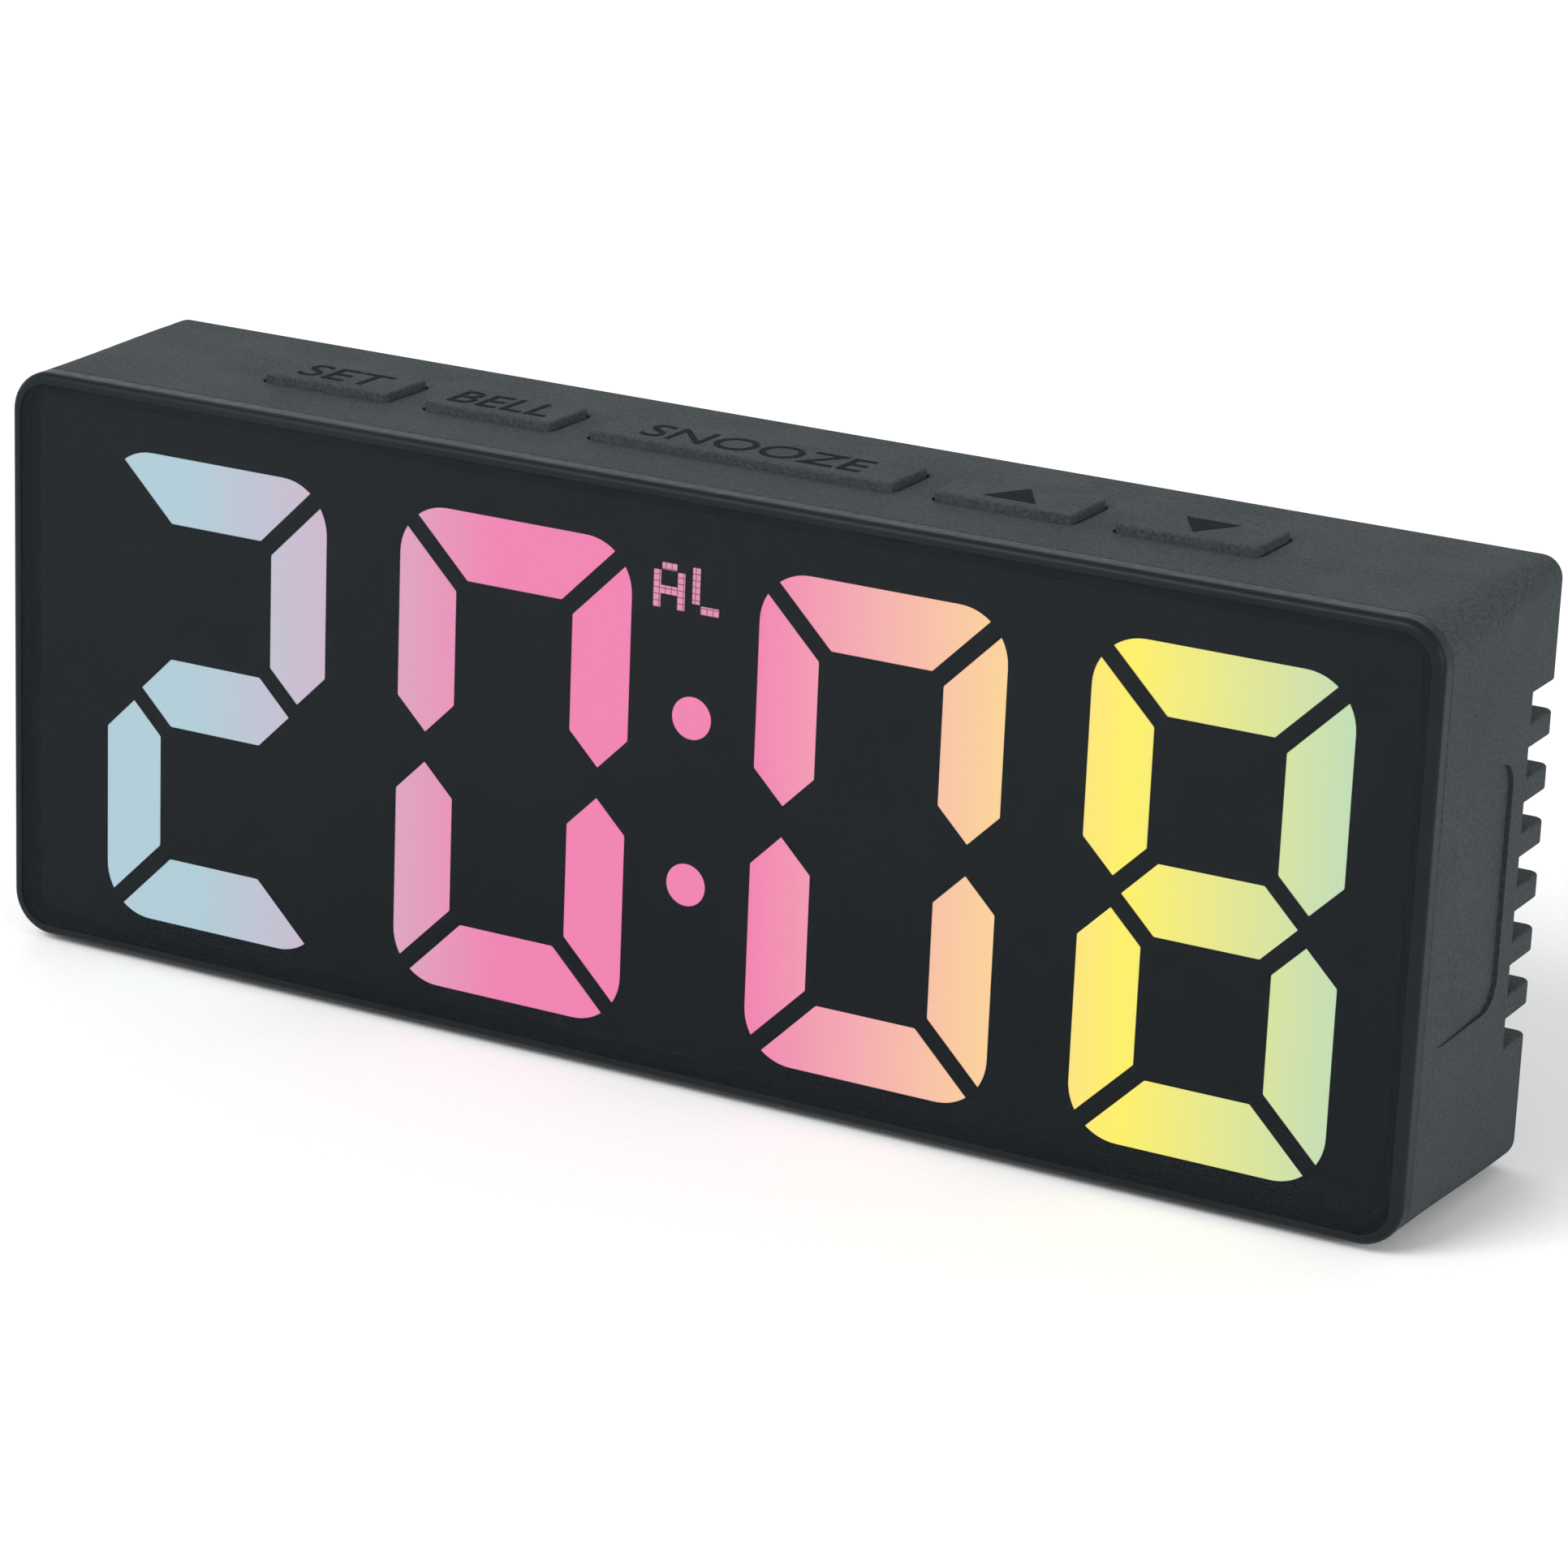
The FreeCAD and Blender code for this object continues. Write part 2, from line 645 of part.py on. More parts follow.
def add_key_posts(body):
    """Bored posts under the case top, which the key board is screwed to from below."""
    pad_z(body, key_board_discs("key_post_radius"), "key_board_top", f"({CEILING} + {PAST})")
    bore_end = f"({KEY_BOARD_LOW} + screw_length)"
    pocket_z(body, key_board_discs("screw_core"), f"(key_board_top - {PAST})", bore_end)


def add_board_posts(body):
    """Bored posts that the main board is screwed to from the front."""
    pad_y(body, corner_discs("post_radius"), BOARD_BACK, f"({SIDE_FLOOR} + {PAST})")
    bore_end = f"({BOARD_BACK} + screw_length)"
    pocket_y(body, corner_discs("screw_core"), f"({BOARD_BACK} - {PAST})", bore_end)


def cut_side_hollows(body):
    """A shallow finger hollow in each side, nearly level in front and deepest behind."""
    start = "(body_width / 2 - hollow_start)"
    sketch = new_sketch(body, "YZ_Plane", start)
    slope = number("(hollow_depth - hollow_start) / hollow_length")
    tilt = math.degrees(math.atan(slope))
    sketch.AttachmentOffset = Placement(
        Vector(0, 0, number(start)), Rotation(Vector(0, 1, 0), tilt)
    )
    sketch.setExpression("AttachmentOffset.Base.x", bound(f"{FRONT} + hollow_front"))
    sketch.setExpression("AttachmentOffset.Base.z", bound(start))
    middle = "hollow_length / 2"
    outline = (middle, "grip_height", "hollow_length", "hollow_height", "hollow_rounding")
    draw(sketch, [outline])
    hollow = add_feature(body, "Pocket", sketch, "2 * wall", reverse=True)
    mirrored = body.newObject("PartDesign::Mirrored", "Mirrored")
    mirrored.Originals = [hollow]
    mirrored.MirrorPlane = (origin_plane(body, "YZ_Plane"), [""])
    body.Tip = mirrored
    DOC.recompute()


def cut_back_openings(body):
    """The power socket's opening and a ring of sound holes in the back wall."""
    socket = (
        "socket_place",
        "socket_height",
        "socket_width + 2 * socket_play",
        "socket_rise + 2 * socket_play",
        f"socket_rise / 2 + socket_play - {SLIVER}",
    )
    holes = [("buzzer_place", "buzzer_height", "sound_hole")]
    for circle, count in ((1, 6), (2, 12)):
        for index in range(count):
            turn = f"{360 * index / count}deg"
            x = f"buzzer_place + {circle} * sound_ring * cos({turn})"
            z = f"buzzer_height + {circle} * sound_ring * sin({turn})"
            holes.append((x, z, "sound_hole"))
    pocket_y(body, [socket] + holes, f"({BACK_FLOOR} - {PAST})", f"({BACK} + {PAST})")


def make_front_frame():
    """Glossy frame: a thin rim around the lens, a ledge behind it and a skirt into the case."""
    body = new_body("front_frame")
    pad_y(body, case_outline("0"), FRONT, FRAME_BACK)
    round_edges(body, at_depth(FRONT), "frame_rounding")
    round_edges(body, at_depth(FRAME_BACK), "seam_rounding")
    skirt_end = f"({FRAME_BACK} + skirt_length)"
    pad_y(body, case_outline("frame_rim + skirt_play"), FRAME_BACK, skirt_end)
    pocket_y(body, case_outline("frame_rim"), f"({FRONT} - {PAST})", LENS_BACK)
    pocket_y(body, case_outline("frame_ledge"), f"({FRONT} - {PAST})", f"({skirt_end} + {PAST})")
    add_node(body)


def make_front_lens():
    body = new_body("front_lens")
    pad_y(body, case_outline("frame_rim + lens_play"), LENS_FRONT, LENS_BACK)
    add_node(body)


def make_feet():
    """Four rubber discs, each in its seat under the case."""
    height = "foot_height + foot_seat"
    feet = [
        rod(f"{side} * foot_spread", f"{end} * foot_stance", "0", "foot_radius", height)
        for side in (-1, 1)
        for end in (-1, 1)
    ]
    add_node(group(feet), "rubber_feet")


# --- display -------------------------------------------------------------------------------


def level_segment():
    """The top segment of a figure, centred on the figure, as a face in X and Z."""
    half_w = number("digit_width / 2")
    half_h = number("digit_height / 2")
    inner_u = half_w - number("upright_bar")
    inner_v = half_h - number("level_bar")
    shift = number("segment_gap") / math.sqrt(2)
    tip, centre = corner_tip(inner_u - shift - inner_v)
    top = Vector(centre.x, 0, half_h)
    middle = arc_middle(tip, top, centre)
    corner = Vector(inner_u - shift, 0, inner_v)
    edges = [
        Part.LineSegment(opposite(corner), corner),
        Part.LineSegment(corner, tip),
        Part.Arc(tip, middle, top),
        Part.LineSegment(top, opposite(top)),
        Part.Arc(opposite(top), opposite(middle), opposite(tip)),
        Part.LineSegment(opposite(tip), opposite(corner)),
    ]
    return face_of(edges)


def upright_segment():
    """The upper right segment of a figure, as a face in X and Z."""
    half_w = number("digit_width / 2")
    half_h = number("digit_height / 2")
    bar = number("upright_bar")
    inner_u = half_w - bar
    inner_v = half_h - number("level_bar")
    shift = number("segment_gap") / math.sqrt(2)
    low = number("middle_bar / 2") + shift
    tip, centre = corner_tip(inner_u + shift - inner_v)
    side = Vector(half_w, 0, centre.z)
    corners = [
        side,
        Vector(half_w, 0, low),
        Vector(half_w - bar / 2, 0, low - bar / 2),
        Vector(inner_u, 0, low),
        Vector(inner_u, 0, inner_v - shift),
        tip,
    ]
    edges = [Part.LineSegment(a, b) for a, b in zip(corners, corners[1:])]
    edges.append(Part.Arc(tip, arc_middle(tip, side, centre), side))
    return face_of(edges)


def middle_segment():
    """The pointed middle segment of a figure, as a face in X and Z."""
    half_bar = number("middle_bar / 2")
    shift = number("segment_gap") / math.sqrt(2)
    reach = number("digit_width / 2 - upright_bar") - shift
    points = [
        Vector(reach, 0, half_bar),
        Vector(reach + half_bar, 0, 0),
        Vector(reach, 0, -half_bar),
        Vector(-reach, 0, -half_bar),
        Vector(-reach - half_bar, 0, 0),
        Vector(-reach, 0, half_bar),
    ]
    edges = [Part.LineSegment(a, b) for a, b in zip(points, points[1:] + points[:1])]
    return face_of(edges)


def corner_tip(offset):
    """Where the 45 degree line x = z + offset meets a figure's upper right corner arc."""
    radius = number("digit_rounding")
    centre = Vector(number("digit_width / 2") - radius, 0, number("digit_height / 2") - radius)
    slack = centre.z + offset - centre.x
    rise = (math.sqrt(2 * radius**2 - slack**2) - slack) / 2
    z = centre.z + rise
    return Vector(z + offset, 0, z), centre


def arc_middle(first, last, centre):
    """The point halfway along the arc between two points around a centre."""
    direction = (first + last) * 0.5 - centre
    direction.normalize()
    return centre + direction * (first - centre).Length


def opposite(point):
    return Vector(-point.x, 0, point.z)


def face_of(edges):
    return Part.Face(Part.Wire([edge.toShape() for edge in edges]))


def over(face):
    """The face turned upside down, as in a mirror on the table."""
    return face.mirror(Vector(), Vector(0, 0, 1))


def across(face):
    """The face with left and right exchanged."""
    return face.mirror(Vector(), Vector(1, 0, 0))


def figure_faces():
    """The seven segment faces of one figure, centred on the origin."""
    top = level_segment()
    upright = upright_segment()
    return [
        top,
        over(top),
        middle_segment(),
        upright,
        across(upright),
        over(upright),
        across(over(upright)),
    ]


def extrude_y(face, x, z, low, high):
    """A solid from a face in the XZ plane, moved to a place, between two depths."""
    moved = face.copy()
    moved.translate(Vector(x, low, z))
    return moved.extrude(Vector(0, high - low, 0))


FIGURES = ["hours_tens", "hours_units", "minutes_tens", "minutes_units"]


def figure_middles():
    near = number("colon_pitch / 2")
    far = number("colon_pitch / 2 + digit_pitch")
    shift = number("display_shift")
    return [shift - far, shift - near, shift + near, shift + far]


def figure_solids(x, low, high):
    z = number(DISPLAY_MIDDLE)
    return [extrude_y(face, x, z, low, high) for face in figure_faces()]


def colon_solids(low, high):
    x = number("display_shift")
    offset = number("colon_offset")
    discs = []
    for rise in (-offset, offset):
        start = Vector(x, low, number(DISPLAY_MIDDLE) + rise)
        discs.append(Part.makeCylinder(number("colon_radius"), high - low, start, Vector(0, 1, 0)))
    return discs


def sign_solids(low, high):
    """The letters A and L in square strokes, as the alarm-on sign between the figures."""
    stroke = number("sign_stroke")
    tall = number("sign_height")
    slit = number("sign_slit")
    wide = number("sign_first")
    second = wide + stroke
    last = second + number("sign_second")
    shoulder = tall - stroke
    bar = number("sign_bar")
    start = number("display_shift") - number("sign_shift")
    foot = number(DISPLAY_MIDDLE) + number("sign_rise")

    def stroke_box(x0, z0, x1, z1):
        return Part.makeBox(x1 - x0, high - low, z1 - z0, Vector(start + x0, low, foot + z0))

    legs = stroke_box(0, 0, stroke, shoulder)
    other_leg = stroke_box(wide - stroke, 0, wide, shoulder)
    cross = stroke_box(stroke / 2, bar - stroke / 2, wide - stroke / 2, bar + stroke / 2)
    return [
        legs.multiFuse([other_leg, cross]).removeSplitter(),
        stroke_box(stroke + slit, shoulder + slit, wide - stroke - slit, tall),
        stroke_box(second, stroke + slit, second + stroke, tall),
        stroke_box(second + stroke + slit, 0, last, stroke),
    ]


def window_solids(low, high):
    """Every window of the display mask, as solids between two depths."""
    return colon_solids(low, high) + sign_solids(low, high) + all_figure_solids(low, high)


def all_figure_solids(low, high):
    return [part for x in figure_middles() for part in figure_solids(x, low, high)]


def sign_box():
    """The box around the alarm-on sign."""
    return Part.makeCompound(sign_solids(0, 1)).BoundBox


def well_solids(low, high):
    """The light wells: one behind each window, and one behind the whole alarm-on sign."""
    box = sign_box()
    sign_well = Part.makeBox(box.XLength, high - low, box.ZLength, Vector(box.XMin, low, box.ZMin))
    return colon_solids(low, high) + [sign_well] + all_figure_solids(low, high)


def make_display():
    front = number(MASK_FRONT)
    back = number(MASK_BACK)
    for name, x in zip(FIGURES, figure_middles()):
        add_node(solid(Part.makeCompound(figure_solids(x, front, back))), name + "_segments")
    add_node(solid(Part.makeCompound(colon_solids(front, back))), "colon_dots")
    add_node(solid(Part.makeCompound(sign_solids(front, back))), "alarm_sign")

    plate = new_body("mask_plate")
    pad_y(plate, case_outline(stack_inset()), MASK_FRONT, MASK_BACK)
    windows = solid(Part.makeCompound(window_solids(front - PAST, back + PAST)), "Windows")
    add_node(cut(plate, windows), "display_mask")

    film = new_body("gradient_film")
    pad_y(film, case_outline(stack_inset()), MASK_BACK, FILM_BACK)
    add_node(film)

    well_plate = new_body("well_plate")
    pad_y(well_plate, case_outline(stack_inset()), FILM_BACK, REFLECTOR_BACK)
    screw_room = corner_discs("screw_head + screw_head_rounding")
    pocket_y(well_plate, screw_room, f"({FILM_BACK} - {PAST})", f"({REFLECTOR_BACK} + {PAST})")
    wells = well_solids(number(FILM_BACK) - PAST, number(REFLECTOR_BACK) + PAST)
    well_tool = solid(Part.makeCompound(wells), "Wells")
    add_node(cut(well_plate, well_tool), "light_reflector")


# --- electronics ---------------------------------------------------------------------------


def make_main_board():
    body = new_body("main_board")
    pad_y(body, case_outline(stack_inset()), REFLECTOR_BACK, BOARD_BACK)
    holes = corner_discs("screw_core + screw_play")
    pocket_y(body, holes, f"({REFLECTOR_BACK} - {PAST})", f"({BOARD_BACK} + {PAST})")
    add_node(body)


def led_places():
    """Two lamps behind each segment and behind the alarm-on sign, one behind each colon dot."""
    spread = 0.2
    places = [(disc.BoundBox.Center.x, disc.BoundBox.Center.z) for disc in colon_solids(0, 1)]
    for box in [sign_box()] + [part.BoundBox for part in all_figure_solids(0, 1)]:
        upright = box.ZLength > box.XLength
        for side in (-1, 1):
            shift_x = 0 if upright else side * spread * box.XLength
            shift_z = side * spread * box.ZLength if upright else 0
            places.append((box.Center.x + shift_x, box.Center.z + shift_z))
    return places


def make_segment_leds():
    length, depth, height = 2.0, 0.8, 1.25
    base = number(REFLECTOR_BACK) - depth
    lamps = [
        Part.makeBox(length, depth, height, Vector(x - length / 2, base, z - height / 2))
        for x, z in led_places()
    ]
    add_node(solid(Part.makeCompound(lamps)), "segment_leds")


def make_controller_chip():
    """Square driver chip with pins on its four sides."""
    side, thick, lift, bevel = 9.0, 1.4, 0.1, 0.2
    pin_count, pin_pitch, pin_width, pin_height, pin_length = 10, 0.8, 0.35, 0.5, 1.0
    pin_middle = side / 2 + 0.4
    x, y, z = 38.0, number(BOARD_BACK), 34.0
    chip = Part.makeBox(side, thick, side, Vector(x - side / 2, y + lift, z - side / 2))
    rim = [edge for edge in chip.Edges if edge.BoundBox.YMin > y + thick]
    chip = chip.makeChamfer(bevel, rim)
    pins = []
    for index in range(pin_count):
        along = (index - (pin_count - 1) / 2) * pin_pitch - pin_width / 2
        for end in (-1, 1):
            near = end * pin_middle - pin_length / 2
            place_side = Vector(x + near, y, z + along)
            pins.append(Part.makeBox(pin_length, pin_height, pin_width, place_side))
            place_end = Vector(x + along, y, z + near)
            pins.append(Part.makeBox(pin_width, pin_height, pin_length, place_end))
    add_node(solid(chip.multiFuse(pins)), "controller_chip")


# x, z, radius and height of each upright can on the back of the main board
CRYSTAL_CAN = [(50, 42, 1.6, 3.8), (50, 42, 1.9, 0.4)]
CAPACITOR_CANS = [(-38, 20, 3.15, 7.0), (-46, 22, 2.5, 5.5), (-38, 29, 2.5, 5.5)]
# x and z of each chip resistor's lower left corner, and its three sizes
RESISTOR_PLACES = [(-62 + 4 * index, 42 - 4 * (index % 2)) for index in range(8)]
RESISTOR_PLACES += [(30 + 4 * index, 22) for index in range(6)]
RESISTOR_SIZE = (2.0, 0.6, 1.25)


def board_cans(rows):
    """Cylinders that stand on the back of the main board."""
    y = number(BOARD_BACK)
    out = Vector(0, 1, 0)
    return [Part.makeCylinder(radius, tall, Vector(x, y, z), out) for x, z, radius, tall in rows]


def make_small_components():
    body, flange = board_cans(CRYSTAL_CAN)
    add_node(solid(body.fuse(flange)), "clock_crystal")
    add_node(solid(Part.makeCompound(board_cans(CAPACITOR_CANS))), "filter_capacitors")
    y = number(BOARD_BACK)
    resistors = [Part.makeBox(*RESISTOR_SIZE, Vector(x, y, z)) for x, z in RESISTOR_PLACES]
    add_node(solid(Part.makeCompound(resistors)), "chip_resistors")


def make_key_board():
    """Board that spans the case under the keys, deeper between the grooves than beside them."""
    body = new_body("key_board")
    front = f"({BOARD_BACK} + key_board_gap)"
    spans = [
        ("body_width - 2 * (wall + key_board_play)", f"({SIDE_FLOOR} - key_board_play)"),
        (f"{BACK_ROOM} - 2 * key_board_play", f"({BACK_FLOOR} - key_board_play)"),
    ]
    for length, rear in spans:
        outline = ("0", f"({rear} + {front}) / 2", length, f"{rear} - {front}", "key_board_corner")
        pad_z(body, [outline], KEY_BOARD_LOW, "key_board_top")
    holes = key_board_discs("screw_core + screw_play")
    pocket_z(body, holes, f"({KEY_BOARD_LOW} - {PAST})", f"(key_board_top + {PAST})")
    add_node(body)


def make_key_switches():
    """Five tact switch bodies, each with the hole that its plunger slides in."""
    bodies = []
    for _, x, _ in KEYS:
        shell = block(f"{x} - switch_size / 2", "key_setback - switch_size / 2", "key_board_top",
                      "switch_size", "switch_size", "switch_height")
        hole = rod(x, "key_setback", f"{SWITCH_TOP} - plunger_room",
                   "plunger_radius + plunger_play", f"plunger_room + {PAST}")
        bodies.append(cut(shell, hole))
    add_node(group(bodies), "key_switches")


def make_key_ribbon():
    """Flat cable that leaves a header under the key board, turns down and plugs into the board."""
    half_width, thick, bend_radius = 8.0, 0.5, 2.0
    connector_width = 19.0
    plug_top, plug_depth, plug_height = 42.5, 3.8, 5.0
    header_depth, header_height = 3.2, 1.95
    under = number(KEY_BOARD_LOW)
    board = number(BOARD_BACK)
    level = under - 1.0
    drop_y = board + 3.0
    turn_y = drop_y + bend_radius
    header_y = turn_y + 2.5
    slope = bend_radius * (1 - math.sqrt(0.5))
    start = Vector(0, header_y, level)
    turn = Vector(0, turn_y, level)
    half_way = Vector(0, drop_y + slope, level - slope)
    down = Vector(0, drop_y, level - bend_radius)
    end = Vector(0, drop_y, plug_top)
    runs = [Part.LineSegment(start, turn), Part.Arc(turn, half_way, down),
            Part.LineSegment(down, end)]
    path = Part.Wire([run.toShape() for run in runs])
    corners = [(-1, -1), (1, -1), (1, 1), (-1, 1), (-1, -1)]
    section = Part.makePolygon([
        Vector(x * half_width, header_y, level + z * thick / 2) for x, z in corners
    ])
    add_node(solid(path.makePipeShell([section], True, True)), "key_ribbon")
    left = -connector_width / 2
    plug_place = Vector(left, board, plug_top - plug_height)
    plug = Part.makeBox(connector_width, plug_depth, plug_height, plug_place)
    header_place = Vector(left, header_y, under - header_height)
    header = Part.makeBox(connector_width, header_depth, header_height, header_place)
    add_node(solid(Part.makeCompound([plug, header])), "ribbon_connectors")


# --- keys ----------------------------------------------------------------------------------


def make_keys():
    """Five key caps held under the case top by a flange, each with its switch plunger."""
    for name, x, width in KEYS:
        cap = new_body(f"button_{name}")
        outline = (x, "key_setback", width, "key_depth", "key_rounding")
        pad_z(cap, [outline], FLANGE_BOTTOM, KEY_TOP)
        round_edges(cap, at_height(KEY_TOP), "key_edge")
        flange = (x, "key_setback", f"{width} + 2 * key_flange", "key_depth + 2 * key_flange",
                  "key_rounding + key_flange")
        pad_z(cap, [flange], FLANGE_BOTTOM, FLANGE_TOP)
        stem = (x, "key_setback", "key_stem", "key_stem")
        pad_z(cap, [stem], PLUNGER_TOP, f"({FLANGE_BOTTOM} + {SUNK})")
        add_node(cap)
        plunger = rod(x, "key_setback", f"{SWITCH_TOP} - plunger_hold", "plunger_radius",
                      "plunger_hold + plunger_rise")
        add_node(plunger, f"plunger_{name}")


# --- battery compartment -------------------------------------------------------------------


def make_battery_door():
    """Flat door with four locating ribs inside and a row of finger slots outside."""
    body = new_body("battery_door")
    pad_y(body, [door_outline("door_play")], DOOR_FRONT, BACK)
    rib_height = "(bay_height / 2 - rib_inset)"
    ribs = [
        (f"{side} * rib_place", f"bay_middle + {end} * {rib_height}", "rib_length", "rib_width")
        for side in (-1, 1)
        for end in (-1, 1)
    ]
    pad_y(body, ribs, f"({DOOR_FRONT} - rib_rise)", f"({DOOR_FRONT} + {SUNK})")
    slots = []
    for index in range(round(number("ridge_count"))):
        height = f"bay_middle + bay_height / 2 - ridge_margin - {index} * ridge_pitch"
        slots.append(("0", height, "ridge_length", "ridge_height"))
    pocket_y(body, slots, f"({BACK} - ridge_depth)", f"({BACK} + {PAST})")
    round_edges(body, outer_door_edge(), "door_edge")
    add_node(body)


def outer_door_edge():
    """The outline of the door's outer face, without the finger slots."""
    back = number(BACK)
    reach_x = number("bay_length / 2 + door_lip - door_play")
    reach_z = number("bay_height / 2 + door_lip - door_play")
    middle = number("bay_middle")
    corner = number("door_corner")

    def chosen(box):
        outer = max(abs(box.XMin), abs(box.XMax)) > reach_x - corner
        upper = max(abs(box.ZMin - middle), abs(box.ZMax - middle)) > reach_z - NEAR
        return box.YMin > back - NEAR and (outer or upper)

    return chosen


def cell_rows():
    """Height and facing of each cell: +1 has its nub to the right."""
    return [(1, -1), (0, 1), (-1, -1)]


def make_battery_cells():
    """Three cells in a row, each with its nub on the side of its flat contact plate."""
    cells = []
    nub_end = "(bay_length / 2 - contact_thickness - nub_gap)"
    nub_whole = f"nub_length + {SUNK}"
    for row, facing in cell_rows():
        height = f"bay_middle + {row} * cell_pitch"
        if facing > 0:
            start = f"{nub_end} - nub_length - cell_length"
            nub_start = f"{nub_end} - ({nub_whole})"
        else:
            start = f"-{nub_end} + nub_length"
            nub_start = f"-{nub_end}"
        can = rod(start, CELL_DEPTH, height, "cell_radius", "cell_length", "x")
        nub = rod(nub_start, CELL_DEPTH, height, "nub_radius", nub_whole, "x")
        cells.append(fuse([can, nub]))
    add_node(group(cells), "battery_cells")


def make_contacts():
    """Sheet metal plates at both ends of the bay, and coil springs drawn turn by turn."""
    half = "bay_length / 2"
    low = "bay_floor + contact_lift"
    single, double = "contact_width", "contact_width + cell_pitch"
    plates = []
    for side, row, height in ((1, -1, double), (1, 1, single), (-1, 0, double), (-1, -1, single)):
        x = f"{half} - contact_thickness" if side > 0 else f"-({half})"
        foot = f"bay_middle + {row} * cell_pitch - contact_width / 2"
        plates.append(block(x, low, foot, "contact_thickness", "contact_depth", height))
    add_node(group(plates), "contact_plates")

    first = f"{half} - contact_thickness - spring_wire - spring_gap"
    rings = []
    for row, facing in cell_rows():
        middle = f"bay_middle + {row} * cell_pitch"
        for turn in range(5):
            away = f"({first} - {turn} * spring_turn)"
            radius = f"spring_radius - {turn} * spring_taper"
            rings.append(ring(f"{-facing} * {away}", CELL_DEPTH, middle, radius))
    add_node(group(rings), "contact_springs")


def ring(x, y, z, radius):
    """One turn of a contact spring, around an axis along X."""
    thing = DOC.addObject("Part::Torus", "Turn")
    thing.Placement = Placement(Vector(), Rotation(Vector(0, 1, 0), 90))
    thing.setExpression("Radius1", bound(radius))
    thing.setExpression("Radius2", bound("spring_wire"))
    return place(thing, x, y, z)


def make_battery_leads():
    """Two leads from the battery bay to the main board."""
    length = f"bay_floor - bay_wall - {BOARD_BACK}"
    height = "bay_middle - lead_drop"
    leads = [
        rod(f"{side} * lead_place", BOARD_BACK, height, "lead_radius", length, "y")
        for side in (-1, 1)
    ]
    add_node(group(leads), "battery_leads")


# --- sound, power and fasteners ------------------------------------------------------------


def make_buzzer():
    """Round case glued inside the back wall, with the metal disc that sounds."""
    body = new_body("buzzer_case")
    front = f"({BACK_FLOOR} - buzzer_depth)"
    inner = "buzzer_radius - buzzer_wall"
    pad_y(body, [("buzzer_place", "buzzer_height", "buzzer_radius")], front, BACK_FLOOR)
    hollow = ("buzzer_place", "buzzer_height", inner)
    pocket_y(body, [hollow], f"({front} + buzzer_wall)", f"({BACK_FLOOR} + {PAST})")
    add_node(body)
    depth = f"{front} + disc_place"
    disc = rod("buzzer_place", depth, "buzzer_height", inner, "disc_thickness", "y")
    add_node(disc, "buzzer_disc")


def make_power_socket():
    """Flat oval socket shell with its contact tongue, on a small board of its own."""
    body = new_body("power_socket_shell")
    mouth = f"({BACK} - socket_inset)"
    front = f"({mouth} - socket_length)"
    inside = f"({front} + socket_base)"
    for inset, kind, ends in (("0", pad_y, (front, mouth)),
                              ("socket_wall", pocket_y, (inside, f"({mouth} + {PAST})"))):
        width = f"socket_width - 2 * {inset}"
        height = f"socket_rise - 2 * {inset}"
        corner = f"socket_rise / 2 - {inset} - {SLIVER}"
        kind(body, [("socket_place", "socket_height", width, height, corner)], *ends)
    add_node(body)
    tongue = block("socket_place - tongue_width / 2", inside, "socket_height - tongue_height / 2",
                   "tongue_width", "tongue_length", "tongue_height")
    add_node(tongue, "power_socket_tongue")
    board_low = "(socket_height - socket_rise / 2 - board_thickness)"
    board = block("socket_place - socket_board_width / 2", "socket_board_front", board_low,
                  "socket_board_width", "socket_board_depth", "board_thickness")
    add_node(board, "socket_board")
    floor = "(foot_height + wall)"
    ribs = [
        block(f"socket_place + {side} * support_place - support_width / 2",
              f"{BACK_FLOOR} - support_depth", floor,
              "support_width", "support_depth", f"{board_low} - {floor}")
        for side in (-1, 1)
    ]
    add_node(group(ribs), "socket_supports")


def screw_shape():
    """A small pan-head screw along +Z, its head below the origin, with a cross recess."""
    thick = number("screw_head_height")
    shape = Part.makeCylinder(number("screw_head"), thick, Vector(0, 0, -thick))
    rim = [edge for edge in shape.Edges if edge.BoundBox.ZMax < -thick + NEAR]
    shape = shape.makeFillet(number("screw_head_rounding"), rim)
    core_length = number("screw_length - screw_spare")
    shape = shape.fuse(Part.makeCylinder(number("screw_core"), core_length))
    long = number("recess_length")
    narrow = number("recess_width")
    deep = number("recess_depth") + PAST
    for width, depth in ((long, narrow), (narrow, long)):
        corner = Vector(-width / 2, -depth / 2, -thick - PAST)
        shape = shape.cut(Part.makeBox(width, depth, deep, corner))
    return shape


def make_screws():
    front = number(REFLECTOR_BACK)
    screws = []
    for side in (-1, 1):
        for rise in (-1, 1):
            screw = screw_shape()
            screw.rotate(Vector(), Vector(1, 0, 0), -90)
            x = side * number("screw_offset")
            screw.translate(Vector(x, front, number(MIDDLE) + rise * number("screw_rise")))
            screws.append(screw)
    add_node(solid(Part.makeCompound(screws)), "board_screws")
    below = number(KEY_BOARD_LOW)
    screws = []
    for side in (-1, 0, 1):
        screw = screw_shape()
        x = side * number("(key_inner + key_outer) / 2")
        screw.translate(Vector(x, number("key_post_back"), below))
        screws.append(screw)
    add_node(solid(Part.makeCompound(screws)), "key_board_screws")


# --- assembly ------------------------------------------------------------------------------


